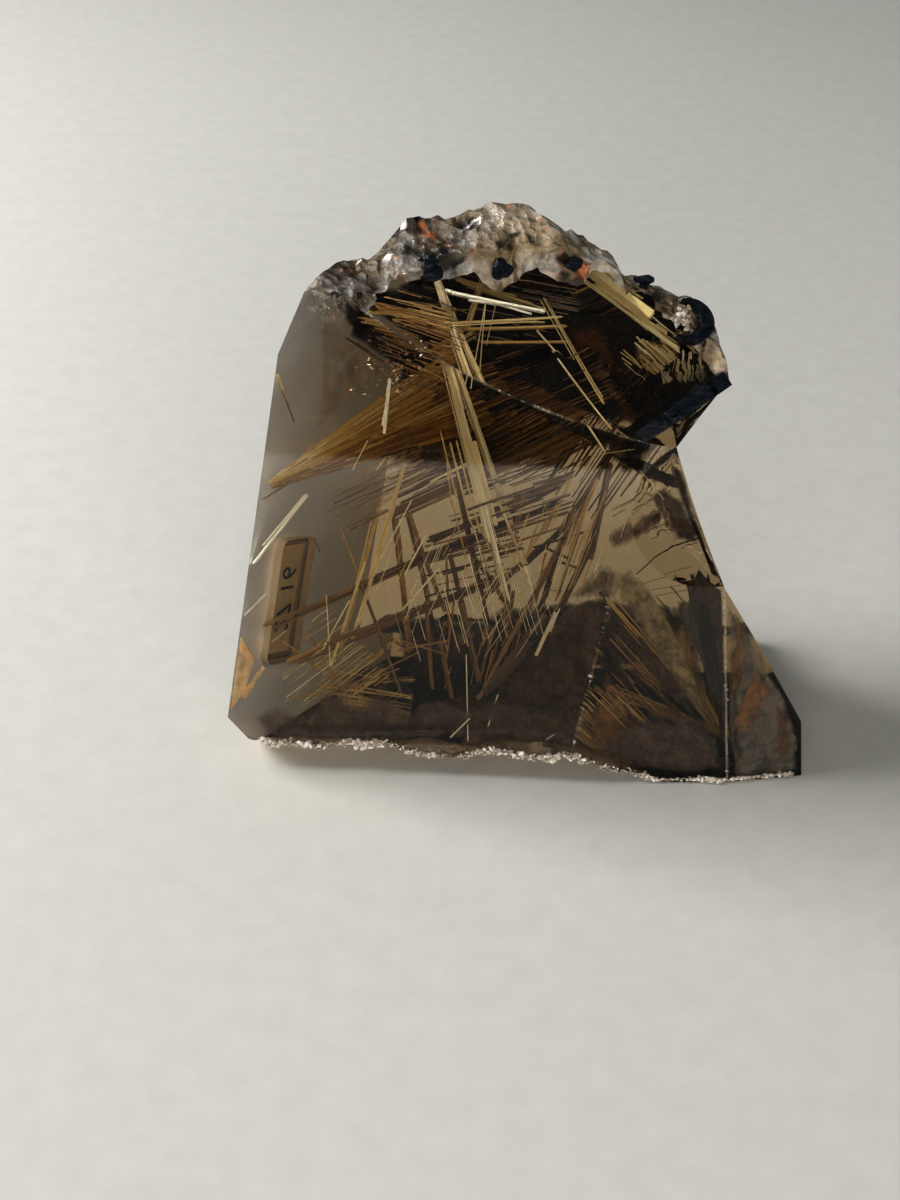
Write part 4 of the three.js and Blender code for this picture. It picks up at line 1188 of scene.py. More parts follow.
# Partly painted shade: besides their own dark colour, these needles are given dark tones where they stand as
# dark outlines against the bright stone behind them.
NEEDLES_DARK_AND_SHADED = [
    (-35.4, 20, 4, -23.1, 25.4, 7, 0.64, 0.28), (-23.1, 25.4, 7, -14.8, 29.4, 9, 0.76, 0.13),
    (-20.4, 26.8, 8, -1, 35.6, 12, 0.79, 0.08), (-13.5, 28.9, 10, 4.6, 37.9, 13, 0.84, 0.08),
    (-13.2, 32.4, 10, -4.5, 35.7, 12, 0.46, 0.1), (-13.5, 31.8, 10, -2.9, 36.1, 12, 0.4, 0.1),
    (-12.1, 30.7, 10, -3.6, 34.4, 12, 0.36, 0.12), (-2.9, 35.8, 12, 4.2, 39.8, 13, 0.55, 0.07),
    (-1, 37, 12, 3.2, 39.2, 13, 0.3, 0.1), (-32.1, 15.1, 3, -24, 18.9, 5, 0.79, 0.33),
    (-26.7, 17.8, 4, -16.8, 21.6, 7, 0.85, 0.22), (-19.7, 20.9, 6, -8.4, 24.8, 9, 0.82, 0.16),
    (-11.4, 23.7, 8, -4.2, 27.3, 10, 0.76, 0.1), (-27.5, 9.7, 3, -16.6, 14.2, 6, 0.3, 0.3),
    (-24.8, 11, 4, -14, 16.5, 7, 0.24, 0.3), (-17.5, 35.3, 9, -16.4, 25, 9, 0.79, 0.3),
    (-16.7, 27.3, 9, -15.4, 16, 8.5, 0.85, 0.28), (-15.7, 35.9, 9, -12.9, 27.7, 9, 0.64, 0.32),
    (-13.7, 30, 9, -10.6, 22, 9, 0.7, 0.28), (-10.2, 30.3, 9.5, -7.8, 21, 9, 0.76, 0.18),
    (-8.7, 23.9, 9, -5.6, 11.5, 8, 0.91, 0.2), (-8.7, 32.6, 10, -4.7, 26.7, 10, 0.61, 0.2),
    (-5.8, 28.4, 10, -0.4, 20.2, 10, 0.67, 0.18), (-22.2, 26.3, 7, -18.6, 16.7, 6.5, 0.52, 0.2),
    (-19.4, 18.7, 6.5, -16.3, 10, 6, 0.55, 0.16), (-25.3, 34.6, 8, -22, 25.9, 7.5, 0.24, 0.4),
    (-18.7, 18.9, 7, -15.3, 16.4, 7, 0.46, 0.25), (-11.3, 18.1, 8, -9.4, 9.5, 7, 0.76, 0.22),
    (-13.3, 23.9, 8, -12.2, 10.9, 7, 0.61, 0.25), (-9.5, 23.8, 9, -10.4, 15.2, 8, 0.36, 0.3),
    (-4.2, 29.9, 9, -3.3, 24.1, 9, 0.3, 0.3), (-10.7, 30.4, 9, -10, 17.9, 9, 0.36, 0.3),
    (-16.6, 18.6, 5, -10.4, 16.3, 7, 0.33, 0.3), (-16.9, 17.1, 5, -9.9, 18.4, 7, 0.36, 0.32),
    (-5.7, 24.3, 9, 1.9, 31.4, 11, 0.91, 0.12), (-0.4, 28.9, 10, 6.3, 35.6, 12, 0.91, 0.1),
    (4.5, 33.9, 12, 9.2, 41.2, 13, 0.76, 0.16), (10.7, 43.8, 11, 8.7, 30.2, 10, 0.99, 0.12),
    (9.1, 33.1, 10, 4.7, 22.8, 9, 1.06, 0.1), (4.8, 33.2, 11, 2.9, 25.5, 10.5, 0.76, 0.1),
    (3.4, 27, 10.5, 2, 21.8, 10, 0.91, 0.06), (2.7, 31.9, 9, 6.2, 30.2, 9.5, 0.4, 0.14),
    (4.6, 30, 9, 7.7, 28.9, 9.5, 0.4, 0.14), (3.5, 25.9, 9, 5.1, 25.7, 9, 0.18, 0.2),
    (2.7, 31.2, 9.5, 1.6, 23.7, 9.5, 0.36, 0.35), (3.6, 22.1, 8, -0.3, 16.9, 7, 1.22, 0.04),
    (1, 19, 7, -2.8, 13.1, 6, 1.37, 0.05), (-2.1, 14.4, 6, -5, 11, 5.5, 1.22, 0.03),
    (-2.2, 26.7, 8, -2.3, 20.3, 8, 0.76, 0.24), (-1.4, 25.9, 8, -2, 20.6, 8, 0.55, 0.2),
    (-2.5, 27, 8, -3.2, 24.4, 8, 0.3, 0.24), (-23.7, 60.4, 3, -19, 57.1, 5, 0.29, 0.06),
    (-22.4, 59.9, 3, -19.5, 57.4, 5, 0.24, 0.1), (-28.1, 33.3, 3, -27.3, 31.3, 3, 0.33, 0.1),
    (-26.6, 36.5, 5, -18.8, 40.1, 7, 0.18, 0.22), (-25.6, 35.7, 5, -17.7, 39.9, 7, 0.18, 0.22),
    (-24, 34.4, 5, -18.8, 36.5, 7, 0.18, 0.24), (-23.5, 33.9, 6, -18, 36.8, 8, 0.3, 0.2),
    (-34.7, 38.8, 0.3, -26.2, 43.6, 7, 0.24, 0.3),
]


WIDE_NEEDLE = 0.4


def singles(rows, paler=0.0):
    """Single needles, and three finer ones along each that is wide."""
    strands = []
    for *corners, width, tone in rows:
        a, b = in_crystal(corners[:3]), in_crystal(corners[3:])
        tone += paler
        strands.append((a, b, width * MM, width * 0.6 * MM, tone))
        for _ in range(3 if width > WIDE_NEEDLE else 0):
            from_t, to_t = sorted(rng.uniform(0, 1) for _ in range(2))
            shift = across * rng.uniform(-0.4, 0.4) * width * MM
            ends = [a.lerp(b, from_t * 0.4) + shift, a.lerp(b, 0.6 + to_t * 0.4) + shift]
            strands.append((*ends, width * 0.3 * MM, width * 0.75 * MM, tone + rng.gauss(0, 0.1)))
    return strands


grow("fracture_glint_and_shade_lines", singles(FRACTURE_GLINT_AND_SHADE_LINES))
grow("rutile_pale_needles", singles(NEEDLES_PALE))
grow("rutile_dark_and_shaded_needles", singles(NEEDLES_DARK_AND_SHADED, paler=0.1))

# %% [markdown]
# ## Films, stains and glints
#
# Healed cracks and films of iron oxide lie in the stone as thin sheets. The dark sheet behind the scoop
# is painted shade, and the grey one at the right end is painted light. Each is a polygon with a
# little thickness, and an inset gives it a hem in which it fades out. Named attributes give its
# tone and cover. Half of a film is a plain surface, and the other half lets light through, so it
# glows where lamps stand behind it. Where a crack holds air, it glints in small flakes.

# %% Where the films lie
FILM_TONES = {
    # value of the attribute tone, colour, share of light let through
    "black": (0.0, (0.004, 0.003, 0.002), 0.005),
    "dusk": (0.1, (0.03, 0.016, 0.008), 0.03),
    "umber": (0.22, (0.1, 0.055, 0.022), 0.1),
    "brown": (0.34, (0.24, 0.14, 0.07), 0.25),
    "rust": (0.46, (0.4, 0.16, 0.045), 0.36),
    "orange": (0.58, (0.62, 0.3, 0.07), 0.62),
    "amber": (0.66, (0.85, 0.55, 0.16), 0.95),
    "gold": (0.74, (0.85, 0.62, 0.22), 0.95),
    "olive": (0.82, (0.74, 0.66, 0.36), 0.85),
    "grey": (0.88, (0.5, 0.43, 0.34), 0.5),
    "sage": (0.94, (0.6, 0.6, 0.48), 0.7),
    "cream": (1.0, (0.96, 0.82, 0.5), 1.0),
}
# Each film: tone, cover, width of its soft hem in mm, depth, and its corners across and up the
# crystal, with a third number where a corner lies at another depth.
FILMS = {
    "spear": ("umber", 1, 0.3, 2.9, [
        (22.8, 30.9), (21.9, 28.4), (21.6, 25.5), (22.4, 21), (24.2, 17.5), (26.5, 12.3), (28.2, 7.9),
        (26.9, 21.1), (26.1, 28.3), (24.8, 29)]),
    "spear_core": ("black", 1, 0.3, 2.7, [
        (23.1, 26.8), (23.4, 21.9), (25.8, 13.8), (28.1, 9.1), (27.2, 13.9), (25.8, 21.2), (24.4, 26)]),
    "right_band": ("brown", 0.85, 1, 5.8, [
        (13.7, 41.1), (17.2, 41.9), (20.3, 39.8), (22.8, 35.5), (22.3, 33.5), (19.5, 33.7),
        (17.3, 36.9)]),
    "waist_band": ("umber", 0.92, 1.2, 10.4, [
        (-17.8, 19.9), (-12.8, 21.6), (-7.3, 19.2), (-3.3, 22.9), (4.9, 24.2), (10.3, 25), (15.5, 24.1),
        (22.2, 25), (22.7, 17.6), (16, 14.7), (5.3, 13.8), (-7.2, 13.5), (-16.9, 14.2)]),
    "dull_facet": ("brown", 0.9, 0.7, 7.6, [
        (5.7, 24), (9.2, 25.4), (10.9, 22.5), (9.5, 13.3), (7.6, 4.2, 3.4), (0.2, 4.3, 3.4),
        (-6.9, 6.1), (-12.2, 8.9), (-5.9, 11), (0, 17.3)]),
    "dark_facet": ("umber", 0.8, 1.6, 9.3, [
        (10.8, 20), (13.7, 16.4), (18.3, 8.4), (23.7, 1.5, 5.4), (19.6, 0.8, 2.9), (12.6, 3.2, 5.1),
        (7.7, 3.4), (9.2, 12.2)]),
    "right_edge": ("umber", 0.9, 0.8, 3.6, [
        (17.6, 46.2), (19.8, 45, 1.8), (22.4, 37.5), (23.9, 34.1, 2.8), (26, 29.7, 1.3), (24.7, 30.2),
        (21.7, 35.8), (19.2, 41.3)]),
    "right_brown": ("brown", 0.85, 1.6, 10.5, [
        (9, 46), (14.5, 45.5), (17.9, 42.5), (20.1, 44.1, 1.8), (20.8, 41.2, 4.4), (14.4, 42.8),
        (12, 42.3)]),
    "feather_patch": ("rust", 0.7, 1.2, 9.3, [
        (10.6, 33.9), (13.4, 37.1), (17.8, 38), (16.7, 35.2), (13.6, 32.6), (11.5, 31.7)]),
    "end_band_low": ("orange", 0.85, 0.8, 2.1, [
        (28.4, 25.4), (29.3, 22.6, 3.6), (30, 15.4, 2.5), (28.4, 12, 2), (27.9, 18.4)]),
    "end_band_high": ("orange", 0.85, 0.8, 2.3, [
        (31.7, 17.7, 2.9), (33.7, 13.8, 3.2), (32.4, 9.2, 2.8), (29.7, 5.9), (28.6, 9.2)]),
    "end_band_tip": ("rust", 0.7, 0.9, 3.3, [
        (34.4, 12.3), (36.8, 9.9, 3.5), (37.3, 4.5, 3.6), (35.7, 2.7, 3.2), (35.3, 7.8)]),
    # Painted light: a grey sheet at the right end stands for the lit base seen through the end.
    "end_grey": ("grey", 0.72, 1, 3.5, [
        (26.6, 26.7), (28.4, 25), (32.1, 19.3), (36.7, 11.1), (38.2, 6.6, 3.7), (38.7, 1.4, 3.8),
        (33.4, 0.7, 2.6), (29.8, 0.7, 2.5), (28.4, 5.3)]),
    "left_shade": ("grey", 0.4, 0.8, 5.5, [
        (-27.2, 64), (-23.2, 60.3), (-18.5, 56.3), (-23.2, 51.6), (-27.9, 47.4)]),
    "ray_a": ("olive", 0.85, 1.5, 5.6, [
        (28.3, 3.1), (17.5, 17.8), (10.9, 28.5), (12.1, 30.5), (14.3, 30.6), (19.2, 24.5), (23.2, 16.8)]),
    "ray_e": ("brown", 0.8, 0.6, 7.9, [
        (27.8, 3.4), (19.2, 12.2), (13.3, 19.4), (11.7, 23.4), (14.8, 21.5), (21.6, 13.5)]),
    "ray_b": ("grey", 0.7, 0.6, 6.8, [(28, 3.4), (22.6, 18), (20.2, 25.7), (22.1, 25.8), (24, 17.1)]),
    "ray_c": ("gold", 0.7, 0.9, 9.1, [(28.1, 2.7), (19.6, 19.3), (21.5, 22.6), (23.4, 18)]),
    "ray_d": ("olive", 0.7, 0.9, 12.9, [(27.9, 2.3, 8.6), (10.3, 16.8), (11.9, 18.1), (17.4, 13.5)]),
    "rust_high": ("rust", 0.75, 1.8, 14.1, [
        (3.5, 59.4), (7.9, 60.6), (11.4, 55.1), (9.9, 48.9), (5, 51.8), (2.6, 55.5)]),
    "rust_low": ("rust", 0.6, 1.6, 11.6, [(5, 53.3), (11.2, 52), (14.7, 46.1), (10.7, 44.2), (6.7, 48.7)]),
    "gold_pad": ("gold", 0.8, 1.2, 12.7, [
        (12.6, 57.6), (15.3, 59.7), (18, 58.4), (19.3, 56.9), (15.8, 53.5), (12.3, 55.1)]),
    "black_wedge": ("black", 0.95, 0.8, 10.1, [
        (-4.1, 52.6), (2.5, 57.2), (6.6, 55.4), (12.1, 48.1), (9.8, 45.3), (2.8, 48.7)]),
    # Painted shade: a nearly black sheet behind the scoop stands for the shade where the crusted back keeps
    # light out.
    "scoop_dark": ("dusk", 0.98, 1.2, 14.9, [
        (-26.1, 65.4, 6.8), (-20.4, 63.1), (-16.3, 66), (-7.5, 62), (2.7, 62), (12.5, 61.6),
        (20.6, 56.5), (20.4, 49.6), (13.3, 41.1), (7.9, 47.4), (-3.5, 47.7), (-14.9, 52.5),
        (-23.7, 58.4, 13.9)]),
    "scoop_right": ("umber", 0.9, 1.4, 13.9, [
        (9.6, 59.4), (20.4, 56.9), (22.8, 54.5), (20.4, 49), (14.8, 42.6), (12, 43.9), (10, 51.4)]),
    "sheaf_back": ("brown", 0.85, 2.2, 18.2, [
        (-18.2, 49.7), (-12.4, 54), (-1.6, 49.7), (9.3, 45.2), (4.9, 41.7), (-4, 40.2), (-12.1, 39),
        (-19.8, 40.4)]),
    "sheaf_glow": ("gold", 0.8, 2, 14.3, [
        (-30.2, 42.9, 7.1), (-26.7, 46.3, 12.2), (-19.3, 51.6), (-14.6, 55.1), (-8.2, 53.1),
        (-4.2, 51.9), (-8.1, 48.5), (-14.7, 45.8), (-21.5, 44.1), (-27.9, 42.3, 11.1)]),
    "foot_rust": ("rust", 0.7, 1.6, 9.1, [
        (-25.5, 12.9), (-22.1, 14.3), (-17.7, 13.3), (-17.3, 8.8), (-23.8, 7.2), (-26.6, 8.9)]),
    "foot_brown": ("brown", 0.7, 1.6, 2.4, [
        (-37.2, 6.9), (-33, 9.5), (-30.2, 7.9), (-26, 11.4), (-23, 9.5), (-19.1, 10.9), (-15, 9.3),
        (-11.4, 11.6), (-6.8, 10), (-2.7, 11.7), (2.8, 10.2), (7.4, 11.7), (7.4, 5.3), (-5.3, 4.9),
        (-19, 4.4, 0.6), (-27.3, 3.7, 0.4), (-35.4, 4.1, 0.7)]),
    "mid_rust": ("rust", 0.65, 1.8, 15.3, [
        (-6.3, 17.7), (-2.5, 21.2), (0.9, 16.8), (-1.3, 9.1), (-5.8, 8.3), (-7.3, 13.4)]),
    "low_band": ("umber", 0.9, 2, 16.3, [
        (-17.3, 14.2), (-11.7, 17.2), (-7.4, 14.4), (2.3, 16.7), (5.2, 13.8), (2.7, 7.5), (-7.2, 7),
        (-15.8, 7.8)]),
    "stain_high": ("cream", 1, 0.25, 0.7, [
        (-38, 19.7, 0), (-36, 16.1), (-37.5, 11), (-39.7, 8, 0.2), (-39.4, 10.8, 0.1)]),
    "stain_low": ("cream", 1, 0.2, 1.6, [(-35.3, 15), (-34.7, 14.5), (-37.6, 9.5), (-38.7, 9.8, 1.4)]),
    "blob_left": ("black", 1, 0.2, 7.1, [
        (-18.9, 11.4), (-16.7, 12.1), (-14.7, 10.7), (-16.1, 8.8), (-18.3, 9)]),
    "blob_mid": ("black", 1, 0.2, 7.6, [(-7.6, 11.8), (-4.8, 12.6), (-3.7, 11.1), (-5, 9.6), (-7.2, 9.7)]),
    "blob_right": ("black", 1, 0.2, 2.6, [(27.1, 3.7), (28.4, 4.3), (29.6, 2.8), (28.8, 1.9), (27.2, 2.1)]),
    "brush": ("orange", 0.75, 1.2, 5, [
        (11.4, 15.9), (15.2, 10.4), (19.5, 3.5), (16.8, 1.9), (12.8, 3.6), (9.5, 4.7), (9.5, 9.2)]),
    "foot_right": ("brown", 0.8, 1.8, 2, [
        (10, 6.2), (16.4, 9.7), (23.1, 10), (27.4, 6.9), (28.9, 1.8), (25.1, 0.7), (16.8, 1.6),
        (11, 3.5)]),
    "centre_brown": ("brown", 0.7, 1.6, 10.4, [
        (10, 30.2), (15.2, 27.9), (12.4, 24.6), (10.8, 19.8), (9.2, 24.4), (4.9, 23.6)]),
}
print("films", len(FILMS))


# %% A film and its finish
FILM_THICKNESS = 0.06
GLOW_COLOUR = (0.9, 0.62, 0.28, 1)


def film_piece(name, tone, cover, hem, depth, corners):
    """A thin sheet with a hem, whose attribute core is 0 at its outline and 1 within the hem."""
    mesh = bpy.data.meshes.new(name)
    places = [in_crystal((*corner, depth)[:3]) for corner in corners]
    mesh.from_pydata(places, [], [tuple(range(len(places)))])
    piece = linked(name, mesh)
    edit(piece)
    bpy.ops.mesh.inset(thickness=hem * MM)
    leave_edit()
    outline, points = len(places), len(mesh.vertices)
    core = [0.0] * outline + [1.0] * (points - outline)
    for attribute, values in {"tone": [tone] * points, "cover": [cover] * points, "core": core}.items():
        mesh.attributes.new(attribute, "FLOAT", "POINT").data.foreach_set("value", values)
    extrude(piece, inward * FILM_THICKNESS * MM)
    return piece


film_finish = Finish("iron_film")
film_tone = film_finish.attribute("tone")
cover = film_finish.attribute("cover")
cloud = film_finish.noise(0.0035, 4.0, 0.6, 0.5)
streak = film_finish.noise(0.0012, 3.0, 0.6, stretch=(1, 1, 0.25))
streaked = streak.over(0.4, 0.7)
creamy = film_tone.over(0.95, 1.0)
mottled = film_finish.noise(0.0016, 3.5, 0.65).over(0.52, 0.4) * (1 - creamy)
film_colour = film_finish.ramp(film_tone, [(value, tint) for value, tint, _ in FILM_TONES.values()])
for share, tint in [
        (creamy * cloud.over(0.52, 0.66), (0.75, 0.3, 0.04)), (streaked * 0.5, (0.07, 0.035, 0.014)),
        (mottled * 0.5, (0.02, 0.012, 0.006))]:
    film_colour = film_finish.blend(share, film_colour, tint)
core = film_finish.attribute("core")
soft = (core * 1.35 + (cloud - 0.5) * 2.4 - 0.35).over(0.0, 1.0)
thin = cover * (cloud * 0.7 + streak * 0.6 + 0.35).over(0.55, 1.0)
film_alpha = soft * thin.larger(cover.over(0.92, 1.0))
plain = film_finish.principled(
    Base_Color=film_colour, Roughness=0.45, Normal=film_finish.bump(streak, 0.0002, 0.5))
lets_through = film_finish.ramp(film_tone, [(value, (share,) * 3) for value, _, share in FILM_TONES.values()])
glowing = film_finish.mix_shaders(
    lets_through * (1 - streaked * 0.45) * (1 - mottled * 0.45),
    film_finish.node("BsdfDiffuse", {}, {"Color": (0, 0, 0, 1)}),
    film_finish.node("BsdfTranslucent", {}, {"Color": GLOW_COLOUR}))
film = film_finish.mix_shaders(0.5, plain, glowing)
film_finish.surface(film_finish.mix_shaders(
    film_alpha.over(0.0, 1.0), film_finish.node("BsdfTransparent"), film))
print("film tones", len(FILM_TONES))

# %% The films in four colours
# Films of like colour become one mesh, so that a few pieces stand for all of them.
FILM_GROUPS = {
    "dark_films": ("black", "dusk", "umber"),
    "brown_films": ("brown", "rust"),
    "golden_films": ("orange", "amber", "gold", "olive"),
    "pale_films": ("grey", "sage", "cream"),
}
for group, tones in FILM_GROUPS.items():
    films = [
        film_piece("film_" + name, FILM_TONES[tone][0], *rest)
        for name, (tone, *rest) in FILMS.items() if tone in tones]
    pick(films[0])
    for film in films:
        film.select_set(True)
    bpy.ops.object.join()
    films[0].name = group
    dress(films[0], film_finish, "rutile")
    print(group, len(films), "films")

# %% Flakes that glint
FLAKE_THICKNESS = 0.12
flake = added("flake", bpy.ops.mesh.primitive_circle_add, vertices=5, radius=0.5, fill_type="NGON")
extrude(flake, (0, 0, FLAKE_THICKNESS))
flake_pattern = Pattern(flake)
FLAKES = [
    # centre in the crystal, spread, count, size, tone
    ((-17.5, 56.5, 3.4), (4.4, 4.2, 1.6), 170, 0.55, 0.6),
    ((-26, 64, 1.2), (2.2, 1.2, 0.5), 40, 0.4, 0.75),
    ((10, 53, 14), (3.5, 4.5, 2), 40, 0.6, 0.45),
    ((17, 57, 14), (2.5, 2.5, 1.2), 40, 0.7, 0.7),
    ((-2, 14, 8), (4, 4, 2), 26, 0.6, 0.6),
    ((20, 10, 8), (7, 4, 2), 26, 0.5, 0.7),
    ((10, 26, 9), (3, 4, 2), 26, 0.6, 0.6),
    ((-24, 9, 6), (7, 3, 2), 26, 0.35, 0.8),
]
places, tones = [], []
for centre, spread, count, size, tone in FLAKES:
    for _ in range(count):
        place = in_crystal([c + rng.gauss(0, 0.5) * s for c, s in zip(centre, spread)])
        turn = turned(rng)
        width = size * rng.uniform(0.3, 1.4) * MM
        narrow = width * rng.uniform(0.2, 0.7)
        places.append(Matrix.Translation(place) @ turn @ sized(width, narrow, width))
        tones.append(min(max(tone + rng.gauss(0, 0.15), 0), 1))
glints = flake_pattern.copies("glinting_flakes", places, tones)
flake_finish = Finish("glint")
flake_colour = flake_finish.ramp(flake_finish.attribute("tone"), [
    (0.3, (0.35, 0.15, 0.06)), (0.6, (0.7, 0.5, 0.35)), (0.9, (0.9, 0.84, 0.76))])
flake_finish.surface(flake_finish.principled(
    Base_Color=flake_colour, Roughness=0.18 + flake_finish.noise(0.001) * 0.1, Metallic=0.6))
dress(glints, flake_finish, "smoky_quartz")
print("flakes", len(places))

# %% [markdown]
# ## Hematite
#
# Hematite grows as stacks of thin black plates with a metallic shine. One plate with bevelled
# edges is modelled, and the blade is a stack of its copies. The lumps in the crust are clusters of
# chips, and the crescent is a disc with a bite out of it, whose hollow holds pale grains.

# %% One plate
plate = added("plate", bpy.ops.mesh.primitive_cube_add, size=1)
apply_modifier(plate, "BEVEL", width=0.05, segments=1)
plate_pattern = Pattern(plate)


def basis(x, y, z):
    return Matrix((x.normalized(), y.normalized(), z.normalized())).transposed().to_4x4()


hematite_finish = Finish("hematite")
steps = hematite_finish.noise(0.0015, 5.0, 0.6, stretch=(1, 1, 3))
grain = hematite_finish.noise(0.0004, 3.0, 0.6)
hematite_colour = hematite_finish.ramp(steps, [
    (0.3, (0.008, 0.01, 0.014)), (0.55, (0.027, 0.035, 0.048)), (0.75, (0.08, 0.095, 0.115))])
hematite_finish.surface(hematite_finish.principled(
    Base_Color=hematite_colour, Metallic=0.5, Roughness=0.16 + grain * 0.22,
    Normal=hematite_finish.bump(steps + grain * 0.3, 0.0004, 0.6)))
print("plate", len(plate_pattern.faces), "faces")

# %% The blade along the underside
BLADE_LEFT = Vector((14.8, -10.4, 45.8)) * MM
BLADE_RIGHT = Vector((27.2, -2.8, 51.1)) * MM
BLADE = {"length": 15.2, "depth": 6, "thickness": 1.9, "overhang": 0.9, "lift": 0.6}
BLADE_JOINTS = [-0.5, -0.17, 0.34, 0.5]
BLADE_LAYERS = {"off_middle": 0.28, "thickness": 0.58}


blade_along = (BLADE_RIGHT - BLADE_LEFT).normalized()
blade_up = -underside.normal
blade_up = (blade_up - blade_along * blade_up.dot(blade_along)).normalized()
blade_deep = blade_up.cross(blade_along)
blade_middle = (BLADE_LEFT + BLADE_RIGHT) / 2 + blade_deep * (BLADE["depth"] / 2 - BLADE["overhang"]) * MM
blade_middle += blade_up * BLADE["lift"] * MM
blade_frame = Matrix.Translation(blade_middle) @ basis(blade_along, blade_deep, blade_up)

rng = random.Random(5)
plates = []
for left, right in zip(BLADE_JOINTS, BLADE_JOINTS[1:]):
    for layer in (-BLADE_LAYERS["off_middle"], BLADE_LAYERS["off_middle"]):
        length = (right - left) * BLADE["length"] * rng.uniform(0.975, 0.995)
        centre = Vector((
            (left + right) / 2 * BLADE["length"], rng.uniform(0, 0.05), layer * BLADE["thickness"]))
        thickness = BLADE["thickness"] * BLADE_LAYERS["thickness"]
        size = sized(length, BLADE["depth"] - rng.uniform(0, 0.3), thickness)
        plates.append(
            blade_frame @ Matrix.Scale(MM, 4) @ Matrix.Translation(centre)
            @ Matrix.Rotation(rng.uniform(-0.02, 0.02), 4, "Z") @ size)
blade = plate_pattern.copies("blade_of_hematite", plates, [0] * len(plates))
dress(blade, hematite_finish, "hematite", "hematite_blade")
print("blade plates", len(plates))

# %% Lumps in the crust
SUNK = (0, 0.6, -0.5)
LUMPS = {
    # place, size, turn, and how far it is sunk in the crust
    "hematite_lump_left_corner": ((-25.2, -1.2, 65.2), (1.9, 1.3, 1.2), 0.5, (1.2, 0.6, -1.2)),
    "hematite_lump_left": ((-12.4, 1.6, 66.4), (1.9, 1.3, 1.6), 0.2, (0, -0.9, -0.8)),
    "hematite_lump_middle": ((-2.2, 2.4, 64.8), (2, 1.4, 1.5), 1.1, SUNK),
    "hematite_lump_right": ((7, 5, 64.2), (1.5, 1.2, 1.1), 0.7, SUNK),
    "hematite_skyline_wedge": ((15.6, 9, 62), (2.4, 1.5, 1.2), 0.3, (0.7, -0.6, -2.1)),
}
GRAINS_A_LUMP = 5
for node, (at, size, turn, sunk) in LUMPS.items():
    middle = Vector(at) * MM + Vector(sunk) * MM
    frame_of_lump = Matrix.Translation(middle) @ Matrix.Rotation(turn, 4, "Z")
    grains = []
    for _ in range(GRAINS_A_LUMP):
        shift = Vector(rng.uniform(-0.45, 0.45) * s for s in size) * MM
        grow_by = rng.uniform(0.5, 0.75) * MM
        grain_size = sized(*(s * grow_by for s in size))
        grains.append(frame_of_lump @ Matrix.Translation(shift) @ grain_size @ turned(rng))
    lump = chip_pattern.copies(node + "_grains", grains, [0] * len(grains))
    dress(lump, hematite_finish, "hematite", node)
print("lumps", len(LUMPS))

# %% The crescent at the end of the scoop
CRESCENT = {
    "at": (22.3, 2.7, 57.0), "outer": 3.1, "inner": 2.6, "shift": 1.3, "thickness": 1.4, "rounding": 0.22,
}
CRESCENT_HINT = Vector((-1, 0, 0.25))
HOLLOW = {"aside": 1.1, "below": 0.4, "grains": 40}
crescent_at = Vector(CRESCENT["at"]) * MM


def disc(name, radius, depth, location=(0, 0, 0)):
    piece = added(
        name, bpy.ops.mesh.primitive_cylinder_add, vertices=40, radius=radius, depth=depth, location=location)
    bpy.ops.object.transform_apply(location=True, rotation=True, scale=True)
    return piece


crescent = disc("crescent_of_hematite", CRESCENT["outer"], CRESCENT["thickness"])
combine(crescent, disc("bite", CRESCENT["inner"], 5, (CRESCENT["shift"], 0, 0)), "DIFFERENCE")
apply_modifier(crescent, "BEVEL", width=CRESCENT["rounding"], segments=2, limit_method="ANGLE")
opening = CRESCENT_HINT - SCOOP_NORMAL * CRESCENT_HINT.dot(SCOOP_NORMAL)
opening.normalize()
crescent_frame = basis(opening, SCOOP_NORMAL.cross(opening), SCOOP_NORMAL)
crescent.data.transform(Matrix.Translation(crescent_at) @ crescent_frame @ Matrix.Scale(MM, 4))
dress(crescent, hematite_finish, "hematite", "hematite_crescent")
hollow = crescent_at + opening * HOLLOW["aside"] * MM - SCOOP_NORMAL * HOLLOW["below"] * MM
grains = [
    Matrix.Translation(hollow + Vector((rng.gauss(0, 0.7), rng.gauss(0, 0.5), rng.gauss(0, 0.8))) * MM)
    @ turned(rng) @ sized(*(rng.uniform(0.15, 0.45) * MM for _ in range(3)))
    for _ in range(HOLLOW["grains"])]
pale_grains = chip_pattern.copies("pale_grains", grains, [rng.uniform(0.1, 0.85) for _ in grains])
dress(pale_grains, crumb_finish, "smoky_quartz")
print("crescent", len(crescent.data.polygons), "faces")

# %% [markdown]
# ## The paper label
#
# A small label is glued on the left face, and its inner side is seen through the stone. It sits a
# hair's breadth inside the glass, so no air film shows. Its border and the plain number on it are
# black ink.

# %% Label
LABEL = {
    "x": -31.6, "z": 20.4, "width": 7.6, "height": 18.5, "thickness": 0.25, "corner": 1.4, "sunk": 0.02,
    "margin": 0.5, "line": 0.22, "ink": 0.85, "lets_through": 0.45,
}
label = added("label_of_paper", bpy.ops.mesh.primitive_cube_add, size=1)
label.data.transform(sized(LABEL["width"], LABEL["height"], LABEL["thickness"]))

# Only the four upright edges are selected, and a bevel rounds the corners.
edit(label)
bpy.ops.mesh.select_all(action="DESELECT")
leave_edit()
for mesh_edge in label.data.edges:
    a, b = (label.data.vertices[i].co for i in mesh_edge.vertices)
    mesh_edge.select = abs(a.z - b.z) > LABEL["thickness"] / 2
bpy.ops.object.mode_set(mode="EDIT")
bpy.ops.mesh.select_mode(type="EDGE")
bpy.ops.mesh.bevel(offset=LABEL["corner"], segments=6)
leave_edit()

